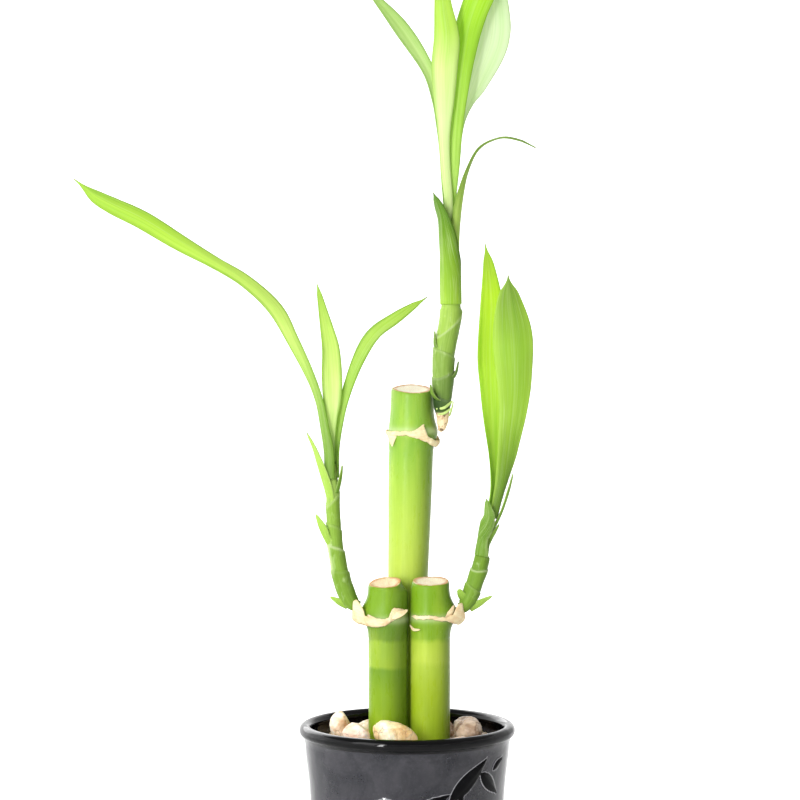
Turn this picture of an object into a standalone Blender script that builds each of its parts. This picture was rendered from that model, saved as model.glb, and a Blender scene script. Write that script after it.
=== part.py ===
"""Lucky bamboo: three cut canes with leafy side shoots, standing in pebbles in a black glazed pot.

Frame: +Z up, +X to the right, +Y away from the front, origin at the middle of the pot's flat foot.
Lengths below are in millimetres and become metres through MM; angles are in degrees, and an
azimuth is counted from +X towards +Y, so the front of the plant is at azimuth 270.
"""

import math
import random

import bmesh
import bpy
from mathutils import Vector

MM = 0.001
GAP = 0.3  # clearance between pieces that touch

# ---- pot ----
POT_SIDES = 40
ROLL_RADIUS = 2.3
ROLL_CENTRE = (37.7, 77.7)  # radius, height
POT_OUTER = (
    (29.5, 0.0),
    (30.6, 1.1),
    (32.8, 9.0),
    (34.6, 27.0),
    (35.5, 46.0),
    (36.4, 59.0),
    (37.6, 69.0),
    (37.9, 73.2),
)
POT_INNER = (
    (35.2, 75.4),
    (34.6, 70.0),
    (32.8, 54.0),
    (31.6, 30.0),
    (30.0, 11.0),
    (27.0, 6.6),
)
RELIEF_DEPTH = 0.8  # how far the leaf ornament stands off the wall
RELIEF_ROOT = 1.0  # how far it is sunk into the wall
RELIEF_EDGE = 0.45  # height of a leaf's edge, as a share of its midrib's
# ornament leaves: azimuth, height of the middle, length, width, tilt from level
RELIEF_LEAVES = (
    (307.0, 64.0, 22.0, 6.4, 42.0),
    (324.0, 61.5, 15.0, 5.0, -38.0),
    (331.0, 68.2, 8.0, 3.0, 30.0),
    (283.0, 55.5, 17.0, 5.6, 28.0),
    (262.0, 55.0, 15.0, 5.0, -16.0),
    (300.0, 46.0, 20.0, 6.0, 58.0),
    (286.0, 38.0, 16.0, 5.2, 18.0),
    (318.0, 42.0, 16.0, 5.2, -48.0),
)
RELIEF_STALK = ((293.0, 16.0), (299.0, 30.0), (303.0, 46.0), (302.0, 58.0))  # azimuth, height
RELIEF_STALK_WIDTH = 2.4
RELIEF_TURNS = (0.0, 180.0)  # the sprig is on the front and again on the back

# ---- pebbles ----
GRAVEL_TOP = 74.0
GRAVEL_ROUGHNESS = 0.7
GRAVEL_SIDES = 24
HOLE_CLEARANCE = 0.8
SEAT_CLEARANCE = 0.4  # between a pebble and the hollow in the bed that it sits in
CANE_FOOT = 16.0
# pebbles: name, centre, half sizes, turn about the vertical, tilt, random seed
PEBBLES = (
    ("pebble_cone", (-24.4, -3.6, 78.6), (4.7, 4.8, 7.0), 20, -6, 3),
    ("pebble_front_pink", (-18.6, -15.6, 78.0), (5.8, 4.8, 5.2), -18, -8, 5),
    ("pebble_front_cream", (-4.4, -15.9, 78.2), (9.4, 4.6, 5.8), -4, 24, 11),
    ("pebble_right_tan", (22.6, 0.6, 77.4), (6.4, 7.6, 5.4), 14, 22, 8),
    ("pebble_right_front", (19.6, -14.6, 74.4), (6.0, 4.6, 3.6), -35, 5, 13),
    ("pebble_front_low", (9.6, -23.2, 72.9), (6.6, 4.4, 3.2), 8, 0, 17),
    ("pebble_left_front", (-12.4, -27.0, 72.8), (5.4, 3.8, 3.2), -12, 0, 19),
    ("pebble_left_back", (-23.6, 10.8, 74.0), (5.4, 6.2, 4.0), 30, 0, 23),
    ("pebble_back_left", (-14.2, 23.0, 73.8), (6.4, 4.8, 3.9), 34, 0, 29),
    ("pebble_back", (0.6, 28.2, 73.6), (6.2, 3.8, 3.6), 0, 0, 31),
    ("pebble_back_right", (14.2, 23.4, 74.0), (5.8, 5.0, 4.0), -30, 0, 37),
    ("pebble_middle_left", (-14.6, 10.6, 75.0), (3.6, 4.2, 3.6), 10, 0, 41),
    ("pebble_middle_right", (13.2, 11.6, 74.6), (3.6, 3.8, 3.6), 0, 0, 43),
)
PEBBLE_JITTER = 0.07
PEBBLE_FACETS = 5

# ---- canes ----
CANE_SIDES = 20
CUT_WAVE = 0.35  # rise and fall of the cut top's edge
CUT_BAND = 2.6  # height of bark below a cut's middle that follows its slant
# each cane: foot and top of its axis, radii as (height, radius), heights of its node and of the
# bud above it, azimuth of the shoot, how far it swells all round the node and out at the bud,
# azimuth of the cut's low side and how far that side drops, azimuth of the side that narrows
# towards the cut and by how much
CANES = {
    "cane_left": {
        "foot": (-7.1, -1.0),
        "top": (-7.1, -1.0, 132.3),
        "radii": ((16, 6.9), (75, 7.15), (108, 7.2), (134, 7.4)),
        "node": 118.5,
        "bud": 121.6,
        "shoot": 180.0,
        "swell": (0.35, 2.5),
        "cut": (248.0, 1.2),
        "worn": (0.0, 2.2),
        "seed": 1,
    },
    "cane_right": {
        "foot": (8.6, -1.0),
        "top": (8.5, -1.0, 132.8),
        "radii": ((16, 7.0), (75, 7.3), (108, 7.35), (134, 7.1)),
        "node": 119.0,
        "bud": 121.4,
        "shoot": 0.0,
        "swell": (0.35, 2.6),
        "cut": (266.0, 0.9),
        "worn": (180.0, 0.3),
        "seed": 2,
    },
    "cane_tall": {
        "foot": (-2.4, 14.5),
        "top": (2.0, 14.5, 203.0),
        "radii": ((16, 6.9), (75, 7.2), (134, 7.5), (169, 8.2), (186, 8.3), (204, 7.9)),
        "node": 187.0,
        "bud": 187.0,
        "shoot": 338.0,
        "swell": (0.35, 1.3),
        "cut": (288.0, 1.3),
        "worn": (0.0, 0.3),
        "seed": 3,
    },
}
SWELL_LENGTH = 4.2  # half length of the swelling along the cane
WORN_LENGTH = 3.6  # how far below the top the worn side starts to narrow

# ---- papery scars: open bands round the nodes, as azimuth, low edge, high edge, flare ----
SCARS = {
    "scar_left": (
        "cane_left",
        (
            (32, 120.0, 121.4, 0.1),
            (90, 118.4, 120.0, 0.2),
            (140, 117.4, 120.0, 0.8),
            (163, 117.0, 120.2, 1.8),
            (180, 117.0, 120.4, 2.5),
            (190, 117.2, 121.0, 2.7),
            (197, 117.3, 125.8, 2.7),
            (204, 117.2, 126.8, 2.3),
            (211, 117.0, 125.0, 1.8),
            (217, 116.9, 120.7, 1.2),
            (228, 116.8, 120.3, 0.8),
            (244, 116.7, 120.0, 0.5),
            (263, 117.4, 120.0, 0.3),
            (272, 118.1, 120.4, 0.3),
            (280, 118.8, 123.4, 0.4),
            (286, 119.3, 124.2, 0.5),
            (302, 120.3, 123.6, 0.6),
            (318, 121.4, 123.0, 0.3),
            (330, 122.1, 122.8, 0.1),
        ),
    ),
    "scar_right": (
        "cane_right",
        (
            (-150, 119.7, 121.2, 0.1),
            (-130, 119.5, 120.9, 0.1),
            (-91, 119.8, 121.2, 0.1),
            (-65, 119.0, 120.5, 0.2),
            (-45, 118.7, 120.4, 0.4),
            (-34, 118.1, 121.2, 0.8),
            (-27, 117.6, 124.6, 1.2),
            (-18, 117.2, 125.4, 1.8),
            (-10, 117.0, 121.6, 2.0),
            (0, 116.8, 120.6, 2.0),
            (18, 117.0, 120.2, 1.7),
            (42, 117.8, 120.4, 0.7),
            (90, 118.6, 120.2, 0.2),
            (144, 119.4, 120.8, 0.1),
        ),
    ),
    "scar_tall": (
        "cane_tall",
        (
            (112, 186.2, 187.6, 0.1),
            (150, 186.3, 187.8, 0.2),
            (180, 186.2, 187.7, 0.4),
            (200, 185.6, 187.7, 0.5),
            (211, 182.6, 187.7, 0.5),
            (224, 186.1, 187.7, 0.3),
            (254, 186.3, 187.7, 0.2),
            (268, 185.9, 187.9, 0.3),
            (284, 185.2, 188.8, 0.4),
            (297, 184.2, 189.6, 0.5),
            (306, 183.7, 186.0, 0.6),
            (322, 182.2, 184.6, 0.8),
            (338, 181.6, 183.9, 1.0),
            (356, 182.2, 184.2, 0.8),
            (400, 184.0, 186.6, 0.4),
            (435, 185.4, 187.2, 0.1),
        ),
    ),
}
SCAR_SIDES = 34
SCAR_THICKNESS = 0.8
SCAR_FRAY = 0.2
SCAR_CLEARANCE = 0.5  # room between a scar and the cane, which curves between the scar's sides

# ---- shoots: stem stations (x, y, z, radius) from the cane outwards ----
STEM_SIDES = 12
STEMS = {
    "stem_left": (
        (-17.5, -1.0, 123.6, 1.8),
        (-19.2, -1.0, 124.1, 2.4),
        (-21.0, -1.0, 125.8, 3.0),
        (-22.6, -1.0, 129.0, 3.35),
        (-24.0, -1.0, 133.0, 3.2),
        (-25.6, -1.0, 140.4, 3.0),
        (-26.6, -1.0, 147.0, 2.75),
        (-27.1, -1.0, 155.0, 2.6),
        (-27.4, -1.0, 163.0, 2.45),
        (-27.7, -1.0, 173.0, 2.3),
    ),
    "stem_right": (
        (19.0, -1.0, 123.0, 1.8),
        (20.6, -1.0, 123.5, 2.4),
        (22.3, -1.0, 125.8, 3.0),
        (23.8, -1.0, 129.2, 3.1),
        (25.1, -1.0, 133.0, 3.1),
        (26.5, -1.0, 137.0, 3.0),
        (27.4, -1.0, 140.6, 2.9),
        (27.7, -1.0, 141.9, 2.8),
        (27.9, -1.0, 143.0, 2.1),
        (28.6, -1.0, 147.0, 1.95),
        (29.7, -1.0, 152.4, 1.9),
        (30.9, -1.0, 156.8, 1.85),
    ),
    "stem_tall": (
        (12.2, 10.2, 187.8, 0.8),
        (12.8, 9.5, 189.2, 1.5),
        (13.1, 9.2, 191.4, 2.0),
        (13.1, 9.1, 194.0, 2.4),
        (12.9, 9.0, 197.0, 3.0),
        (13.2, 8.9, 201.2, 3.5),
        (13.3, 8.9, 206.0, 3.95),
        (13.6, 8.9, 216.0, 4.0),
        (15.6, 9.0, 227.0, 4.05),
        (16.15, 9.0, 232.0, 4.05),
        (16.2, 9.0, 236.0, 4.05),
    ),
}
STEM_RINGS = 20
# sheath edges along a stem, as shares of its length, where one sheath ends over the next
STEM_STEPS = {
    "stem_left": (0.30, 0.47, 0.62, 0.82),
    "stem_right": (0.26, 0.46),
    "stem_tall": (0.24, 0.42, 0.58, 0.76),
}
STEP_DEPTH = 0.35
STEP_LENGTH = 0.14  # share of the stem over which a sheath widens up to its edge
# slim core above a stem's shoulder that the leaves wrap: (height above the shoulder, radius)
CORES = {
    "stem_left": ((0.0, 1.85), (3.0, 1.8)),
    "stem_right": ((0.0, 1.15), (1.2, 1.1)),
    "stem_tall": ((0.0, 3.05), (4.0, 3.0), (4.0, 2.1), (7.2, 2.0), (7.2, 1.15), (9.8, 1.1)),
}

# ---- bracts, fused into their stem: stations (x, y, z, width), facing, curl radius ----
BRACTS = {
    "stem_left": (
        (
            (
                (-21.8, -1.6, 123.6, 4.4),
                (-24.6, -2.0, 125.0, 3.4),
                (-26.6, -2.1, 126.2, 2.0),
                (-28.4, -2.1, 127.2, 0.8),
            ),
            (0.2, 0.9, 0.45),
            2.8,
        ),
        (
            (
                (-27.2, -2.4, 144.6, 2.8),
                (-29.4, -3.0, 148.6, 3.2),
                (-31.2, -2.9, 152.8, 3.4),
                (-33.6, -2.4, 157.8, 0.8),
            ),
            (0.5, 0.85, 0.1),
            2.8,
        ),
        (
            (
                (-28.2, -2.0, 160.0, 4.2),
                (-29.2, -2.8, 166.0, 4.6),
                (-30.8, -3.0, 171.8, 4.4),
                (-32.4, -2.9, 177.0, 3.4),
                (-34.3, -2.6, 182.5, 2.0),
                (-36.9, -2.2, 187.8, 0.8),
            ),
            (0.7, 0.7, 0.1),
            3.0,
        ),
        (
            ((-25.6, -1.9, 165.6, 3.2), (-24.5, -2.2, 170.8, 2.6), (-23.9, -2.3, 175.8, 0.8)),
            (-0.9, 0.4, 0.1),
            2.6,
        ),
    ),
    "stem_right": (
        (
            (
                (23.0, -1.2, 122.6, 4.4),
                (25.9, -1.4, 124.2, 3.4),
                (28.7, -1.5, 126.0, 2.1),
                (31.3, -1.6, 127.4, 0.8),
            ),
            (-0.2, 0.9, 0.45),
            2.8,
        ),
        (
            ((22.4, -1.8, 125.0, 3.4), (20.3, -3.0, 127.4, 3.6), (18.9, -3.3, 130.2, 1.6)),
            (0.3, 1, 0.3),
            2.6,
        ),
        (
            ((29.6, -0.9, 145.8, 3.0), (31.3, -1.3, 149.4, 3.2), (33.8, -1.7, 154.0, 0.8)),
            (-0.8, 0.55, 0.2),
            2.6,
        ),
        (
            (
                (30.6, -1.6, 150.4, 3.4),
                (33.3, -1.6, 155.2, 2.6),
                (35.4, -1.5, 160.2, 2.2),
                (37.3, -1.7, 166.2, 2.4),
                (38.9, -1.7, 172.6, 0.8),
            ),
            (-0.9, 0.4, 0.2),
            2.8,
        ),
    ),
    "stem_tall": (
        (
            ((12.8, 8.6, 198.6, 5.0), (9.6, 5.9, 201.0, 3.6), (8.6, 5.2, 205.2, 0.8)),
            (0.9, 0.4, 0.2),
            3.6,
        ),
        (
            ((14.6, 8.8, 205.6, 5.0), (17.8, 8.2, 208.4, 4.4), (19.0, 7.8, 213.6, 0.8)),
            (-1, 0.2, 0.2),
            3.6,
        ),
        (
            ((13.2, 8.6, 215.6, 5.0), (10.4, 7.8, 218.8, 4.4), (10.2, 7.4, 224.8, 0.8)),
            (1, 0.2, 0.2),
            3.6,
        ),
    ),
}
BRACT_THICKNESS = 0.8

# ---- leaves ----
LEAF_THICKNESS = 0.65
LEAF_WAVE = 0.30  # how far the edges wave
# each leaf: stations (x, y, z, width) along its middle line; facing of its hollow side at the
# base and at the tip, with the span of the turn between them as shares of the length; radius of
# its hollow at the base and in the blade, with the span over which it opens; cells along and
# across; material
LEAVES = {
    "leaf_left_long": {
        "line": (
            (-29.6, -2.7, 173.6, 6.2),
            (-29.8, -2.7, 181.0, 6.2),
            (-31.1, -2.6, 190.0, 5.2),
            (-32.9, -2.5, 200.0, 4.4),
            (-36.4, -2.8, 210.0, 4.2),
            (-42.0, -3.8, 222.0, 4.6),
            (-48.2, -5.4, 233.6, 6.3),
            (-58.8, -7.0, 243.6, 6.4),
            (-70.0, -8.5, 250.6, 6.2),
            (-83.0, -10.0, 258.3, 7.8),
            (-96.0, -11.6, 266.2, 9.0),
            (-106.3, -12.6, 271.2, 8.6),
            (-113.8, -13.3, 275.2, 6.0),
            (-120.6, -14.0, 280.6, 0.9),
        ),
        "face": ((0.72, 0.69, 0), (-0.25, 0.72, -0.62)),
        "turn": (0.14, 0.5),
        "hollow": (2.5, 11.0),
        "open": (0.1, 0.4),
        "cells": (26, 4),
        "material": "leaf_green",
    },
    "leaf_left_middle": {
        "line": (
            (-27.7, -1.0, 176.6, 2.6),
            (-27.7, -1.0, 186.0, 2.8),
            (-27.7, -1.0, 193.0, 4.4),
            (-27.6, -1.1, 200.0, 6.8),
            (-27.7, -1.4, 208.0, 7.8),
            (-28.1, -2.0, 218.0, 6.8),
            (-29.5, -2.4, 226.0, 5.0),
            (-33.1, -3.0, 242.8, 0.9),
        ),
        "face": ((0, -1, 0), (0.2, -1, 0.1)),
        "turn": (0.1, 0.9),
        "hollow": (7.0, 9.0),
        "open": (0.0, 1.0),
        "cells": (15, 4),
        "material": "leaf_green",
    },
    "leaf_left_right": {
        "line": (
            (-26.0, 0.7, 173.6, 6.2),
            (-25.9, 0.7, 181.0, 6.2),
            (-24.8, 0.4, 190.0, 4.8),
            (-22.8, -0.4, 200.0, 4.8),
            (-18.6, -1.2, 212.6, 5.8),
            (-12.2, -2.0, 223.2, 7.6),
            (-4.4, -2.6, 229.6, 6.4),
            (7.2, -3.5, 237.6, 0.9),
        ),
        "face": ((-0.72, -0.69, 0), (-0.35, -0.62, 0.62)),
        "turn": (0.15, 0.6),
        "hollow": (2.5, 9.0),
        "open": (0.12, 0.5),
        "cells": (17, 4),
        "material": "leaf_green",
    },
    "leaf_right_sheath": {
        "line": (
            (25.25, -1.2, 143.8, 12.4),
            (25.75, -1.2, 146.6, 10.6),
            (26.7, -2.4, 150.0, 7.6),
            (27.6, -3.2, 151.6, 7.4),
            (29.0, -4.2, 153.9, 6.2),
            (30.0, -4.9, 157.2, 4.4),
            (29.6, -5.1, 160.4, 2.8),
            (29.0, -5.1, 163.8, 0.9),
        ),
        "face": ((0.97, 0.1, -0.2), (0.15, 1, 0)),
        "turn": (0.12, 0.6),
        "hollow": (2.7, 4.0),
        "open": (0.2, 0.9),
        "cells": (10, 8),
        "material": "shoot_green",
    },
    "leaf_right_back": {
        "line": (
            (30.2, 0.5, 158.4, 4.8),
            (30.9, 0.5, 161.6, 4.8),
            (31.5, 0.9, 166.0, 5.0),
            (31.7, 1.5, 171.0, 5.2),
            (31.6, 2.3, 183.0, 5.8),
            (30.9, 3.0, 203.0, 8.2),
            (30.5, 3.5, 216.0, 9.8),
            (31.0, 3.6, 234.0, 8.6),
            (30.2, 3.4, 247.0, 5.0),
            (28.6, 3.0, 257.4, 0.9),
        ),
        "face": ((0.6, -0.8, 0), (0.1, -1, 0.1)),
        "turn": (0.1, 0.45),
        "hollow": (1.9, 12.0),
        "open": (0.08, 0.4),
        "cells": (17, 4),
        "material": "leaf_green",
    },
    "leaf_right_front": {
        "line": (
            (32.6, -2.55, 157.6, 4.8),
            (33.5, -2.6, 161.6, 5.0),
            (34.6, -2.8, 166.0, 5.8),
            (35.7, -3.0, 171.0, 6.8),
            (36.6, -3.1, 177.5, 7.6),
            (37.5, -3.2, 184.5, 8.4),
            (39.0, -3.4, 197.0, 10.8),
            (39.4, -3.9, 208.0, 13.4),
            (38.8, -4.2, 223.0, 15.2),
            (37.4, -4.1, 236.0, 9.6),
            (36.9, -3.8, 245.8, 0.9),
        ),
        "face": ((-0.6, 0.8, 0), (-0.1, 1, 0.1)),
        "turn": (0.1, 0.45),
        "hollow": (1.9, 16.0),
        "open": (0.02, 0.3),
        "cells": (17, 4),
        "material": "leaf_green",
    },
    "leaf_tall_sheath": {
        "line": (
            (13.55, 6.35, 236.5, 21.5),
            (13.4, 6.3, 244.0, 21.0),
            (13.3, 6.1, 252.0, 15.5),
            (13.0, 5.6, 260.0, 10.8),
            (12.2, 5.0, 268.0, 7.0),
            (9.6, 4.2, 276.0, 0.9),
        ),
        "face": ((0.7, 0.7, 0), (0.75, 0.6, 0)),
        "turn": (0.1, 0.9),
        "hollow": (3.75, 6.0),
        "open": (0.3, 1.0),
        "cells": (12, 8),
        "material": "leaf_green",
    },
    "leaf_tall_arched": {
        "line": (
            (18.72, 8.05, 240.6, 8.2),
            (18.7, 8.0, 250.0, 8.2),
            (19.0, 8.0, 262.0, 7.8),
            (20.2, 7.9, 274.0, 6.4),
            (22.4, 7.8, 284.0, 5.2),
            (26.6, 7.2, 292.2, 4.4),
            (34.0, 6.0, 296.0, 3.6),
            (41.0, 5.0, 295.2, 2.6),
            (47.2, 4.0, 292.4, 1.4),
        ),
        "face": ((-0.94, 0.34, 0), (0, -0.1, 1)),
        "turn": (0.35, 0.75),
        "hollow": (2.8, 6.0),
        "open": (0.3, 0.7),
        "cells": (17, 4),
        "material": "leaf_pale",
    },
    "leaf_tall_left": {
        "line": (
            (14.4, 9.8, 243.8, 2.4),
            (14.3, 9.8, 262.0, 2.4),
            (14.1, 9.9, 272.0, 2.8),
            (13.8, 10.0, 284.0, 3.6),
            (13.4, 9.9, 292.0, 4.0),
            (12.6, 9.6, 300.0, 4.4),
            (11.0, 9.4, 310.0, 4.8),
            (7.2, 8.8, 321.4, 5.4),
            (-3.2, 7.2, 337.2, 6.6),
            (-16.5, 5.6, 352.6, 0.9),
        ),
        "face": ((0.9, -0.42, 0), (0.15, -0.85, 0.5)),
        "turn": (0.12, 0.35),
        "hollow": (1.85, 8.0),
        "open": (0.15, 0.85),
        "cells": (19, 4),
        "material": "leaf_pale",
    },
    "leaf_tall_front": {
        "line": (
            (16.0, 7.15, 246.6, 3.2),
            (16.0, 7.1, 262.0, 3.2),
            (15.3, 6.8, 274.0, 3.8),
            (14.3, 6.6, 284.0, 3.9),
            (13.7, 6.4, 294.0, 4.1),
            (13.6, 6.4, 302.0, 5.4),
            (13.6, 6.4, 310.0, 7.6),
            (13.7, 6.4, 322.0, 9.8),
            (14.4, 6.2, 333.0, 9.6),
            (13.0, 5.6, 346.0, 6.2),
            (11.2, 4.6, 369.0, 0.9),
        ),
        "face": ((0, 1, 0), (0.1, 1, 0.1)),
        "turn": (0.1, 0.9),
        "hollow": (1.85, 14.0),
        "open": (0.15, 0.55),
        "cells": (19, 4),
        "material": "leaf_pale",
    },
    "leaf_tall_inner": {
        "line": (
            (16.1, 9.0, 246.6, 1.7),
            (16.1, 8.9, 262.0, 1.7),
            (16.4, 8.7, 269.0, 2.0),
            (16.9, 8.5, 277.0, 3.0),
            (17.3, 8.3, 287.0, 4.4),
            (17.8, 8.4, 298.0, 5.2),
            (18.8, 8.9, 310.0, 6.4),
            (20.6, 10.0, 326.0, 8.8),
            (23.8, 11.0, 341.0, 10.6),
            (30.0, 11.4, 354.0, 10.0),
            (43.6, 12.0, 370.6, 0.9),
        ),
        "face": ((0, 1, 0), (0.1, 1, -0.3)),
        "turn": (0.1, 0.9),
        "hollow": (6.0, 14.0),
        "open": (0.3, 0.6),
        "cells": (19, 4),
        "material": "leaf_green",
    },
    "leaf_tall_behind": {
        "line": (
            (17.6, 9.87, 243.8, 2.6),
            (17.6, 9.9, 262.0, 2.6),
            (17.8, 10.9, 273.0, 2.4),
            (18.1, 12.0, 284.0, 2.2),
            (19.8, 14.2, 300.0, 2.4),
            (22.2, 15.0, 309.0, 4.6),
            (25.6, 15.2, 317.0, 9.2),
            (31.0, 15.6, 332.0, 14.2),
            (31.8, 15.8, 347.0, 11.4),
            (30.4, 15.6, 375.0, 0.9),
        ),
        "face": ((-0.87, -0.5, 0), (-0.1, -1, 0.1)),
        "turn": (0.2, 0.5),
        "hollow": (1.85, 16.0),
        "open": (0.15, 0.5),
        "cells": (19, 4),
        "material": "leaf_pale",
    },
}

MATERIALS = {
    "black_glaze": ((0.010, 0.010, 0.012, 1.0), 0.12),
    "gravel": ((0.50, 0.40, 0.28, 1.0), 0.60),
    "pebble_cream": ((0.80, 0.66, 0.46, 1.0), 0.45),
    "pebble_tan": ((0.52, 0.38, 0.25, 1.0), 0.50),
    "cane_green": ((0.22, 0.42, 0.06, 1.0), 0.38),
    "papery_scar": ((0.80, 0.62, 0.38, 1.0), 0.80),
    "shoot_green": ((0.12, 0.30, 0.06, 1.0), 0.42),
    "leaf_green": ((0.35, 0.62, 0.06, 1.0), 0.40),
    "leaf_pale": ((0.55, 0.76, 0.24, 1.0), 0.45),
}


def clear_scene():
    for found in list(bpy.data.objects):
        bpy.data.objects.remove(found, do_unlink=True)


def material(name):
    colour, roughness = MATERIALS[name]
    made = bpy.data.materials.get(name) or bpy.data.materials.new(name)
    made.use_nodes = True
    made.diffuse_color = colour
    shader = made.node_tree.nodes["Principled BSDF"]
    shader.inputs["Base Color"].default_value = colour
    shader.inputs["Roughness"].default_value = roughness
    shader.inputs["Metallic"].default_value = 0.0
    return made


def add_object(name, bm, material_name, sharp_angle=40.0):
    """Turn a bmesh in millimetres into an object in metres."""
    bmesh.ops.scale(bm, vec=(MM, MM, MM), verts=bm.verts)
    bmesh.ops.recalc_face_normals(bm, faces=bm.faces)
    mesh = bpy.data.meshes.new(name)
    bm.to_mesh(mesh)
    bm.free()
    mesh.shade_smooth()
    mesh.set_sharp_from_angle(angle=math.radians(sharp_angle))
    made = bpy.data.objects.new(name, mesh)
    bpy.context.scene.collection.objects.link(made)
    mesh.materials.append(material(material_name))
    return made


def apply_booleans(target, others, operation, solver="EXACT"):
    """Cut or join the other objects with the target, then remove them."""
    group = bpy.data.collections.new("operands")
    bpy.context.scene.collection.children.link(group)
    for other in others:
        group.objects.link(other)
    boolean = target.modifiers.new("boolean", "BOOLEAN")
    boolean.operand_type = "COLLECTION"
    boolean.collection = group
    boolean.operation = operation
    boolean.solver = solver
    depsgraph = bpy.context.evaluated_depsgraph_get()
    result = bpy.data.meshes.new_from_object(target.evaluated_get(depsgraph))
    target.modifiers.clear()
    target.data = result
    result.name = target.name
    for other in others:
        bpy.data.objects.remove(other, do_unlink=True)
    bpy.data.collections.remove(group)


def smooth_step(value, start, end):
    share = min(1.0, max(0.0, (value - start) / (end - start)))
    return share * share * (3.0 - 2.0 * share)


def sampled(stations, count):
    """A Catmull-Rom curve through stations of any number of values, evenly spaced in length."""
    points = [Vector(station) for station in stations]
    points = [2 * points[0] - points[1]] + points + [2 * points[-1] - points[-2]]
    fine = []
    steps = 12
    for a, b, c, d in zip(points, points[1:], points[2:], points[3:]):
        for step in range(steps):
            t = step / steps
            fine.append(0.5 * (2 * b + (c - a) * t + (2 * a - 5 * b + 4 * c - d) * t**2
                               + (3 * b - a - 3 * c + d) * t**3))
    fine.append(points[-2])
    lengths = [0.0]
    for before, after in zip(fine, fine[1:]):
        lengths.append(lengths[-1] + (Vector(after[:3]) - Vector(before[:3])).length)
    result = []
    place = 0
    for index in range(count + 1):
        wanted = lengths[-1] * index / count
        while place < len(lengths) - 2 and lengths[place + 1] < wanted:
            place += 1
        share = (wanted - lengths[place]) / (lengths[place + 1] - lengths[place])
        result.append(fine[place].lerp(fine[place + 1], share))
    return result


def tangents(points):
    """Unit directions along a list of points."""
    result = []
    for index in range(len(points)):
        before = points[max(0, index - 1)]
        after = points[min(len(points) - 1, index + 1)]
        result.append((Vector(after[:3]) - Vector(before[:3])).normalized())
    return result


def skin(bm, rings):
    """Faces between rings of equal count, with both ends closed."""
    loops = [[bm.verts.new(point) for point in ring] for ring in rings]
    for low, high in zip(loops, loops[1:]):
        count = len(low)
        for i in range(count):
            j = (i + 1) % count
            bm.faces.new((low[i], low[j], high[j], high[i]))
    bm.faces.new(list(reversed(loops[0])))
    bm.faces.new(loops[-1])


def turned_ring(radius, height, sides):
    return [
        Vector((radius * math.cos(math.tau * i / sides), radius * math.sin(math.tau * i / sides), height))
        for i in range(sides)
    ]


def polar(azimuth, radius, height):
    angle = math.radians(azimuth)
    return Vector((radius * math.cos(angle), radius * math.sin(angle), height))


def value_at(pairs, place):
    """Straight interpolation in a list of (place, value)."""
    if place <= pairs[0][0]:
        return pairs[0][1]
    for (p0, v0), (p1, v1) in zip(pairs, pairs[1:]):
        if place <= p1:
            return v0 + (v1 - v0) * (place - p0) / (p1 - p0)
    return pairs[-1][1]


# ---------------------------------------------------------------- pot


def wall_radius(height):
    return value_at([(z, r) for r, z in POT_OUTER], height)


def relief_leaf(azimuth, height, length, width, tilt):
    """A pointed leaf with a raised midrib, bent round the pot's wall and rooted in it."""
    cells = 6
    rows = (-1.0, 0.0, 1.0)
    radius = wall_radius(height)
    cos_tilt = math.cos(math.radians(tilt))
    sin_tilt = math.sin(math.radians(tilt))
    bm = bmesh.new()
    layers = []
    edge = RELIEF_DEPTH * RELIEF_EDGE
    for offset, crown in ((-RELIEF_ROOT, 0.0), (edge, RELIEF_DEPTH - edge)):
        grid = []
        for i in range(cells + 1):
            along = i / cells
            half = 0.5 * width * max(0.06, math.sin(math.pi * along**0.8))
            row = []
            for side in rows:
                u = (along - 0.5) * length
                v = side * half
                across = u * cos_tilt - v * sin_tilt
                up = u * sin_tilt + v * cos_tilt
                here = height + up
                lift = offset + (crown if side == 0.0 else 0.0)
                point = polar(azimuth + math.degrees(across / radius), wall_radius(here) + lift, here)
                row.append(bm.verts.new(point))
            grid.append(row)
        layers.append(grid)
    low, high = layers
    for i in range(cells):
        for j in range(len(rows) - 1):
            bm.faces.new((low[i][j], low[i][j + 1], low[i + 1][j + 1], low[i + 1][j]))
            bm.faces.new((high[i][j], high[i + 1][j], high[i + 1][j + 1], high[i][j + 1]))
        for j in (0, len(rows) - 1):
            bm.faces.new((low[i][j], low[i + 1][j], high[i + 1][j], high[i][j]))
    for i in (0, cells):
        for j in range(len(rows) - 1):
            bm.faces.new((low[i][j], low[i][j + 1], high[i][j + 1], high[i][j]))
    return add_object("relief", bm, "black_glaze")


def relief_stalk(turn):
    """The sprig's slim stalk, a low rounded bar up the wall."""
    cells = 6
    bm = bmesh.new()
    rings = []
    for index in range(cells + 1):
        height = RELIEF_STALK[0][1] + (RELIEF_STALK[-1][1] - RELIEF_STALK[0][1]) * index / cells
        azimuth = value_at([(z, a) for a, z in RELIEF_STALK], height) + turn
        half = math.degrees(0.5 * RELIEF_STALK_WIDTH / wall_radius(height))
        radius = wall_radius(height)
        rings.append([
            polar(azimuth - half, radius - RELIEF_ROOT, height),
            polar(azimuth + half, radius - RELIEF_ROOT, height),
            polar(azimuth + half, radius + RELIEF_EDGE * RELIEF_DEPTH, height),
            polar(azimuth, radius + RELIEF_DEPTH, height),
            polar(azimuth - half, radius + RELIEF_EDGE * RELIEF_DEPTH, height),
        ])
    skin(bm, rings)
    return add_object("relief", bm, "black_glaze")


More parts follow.
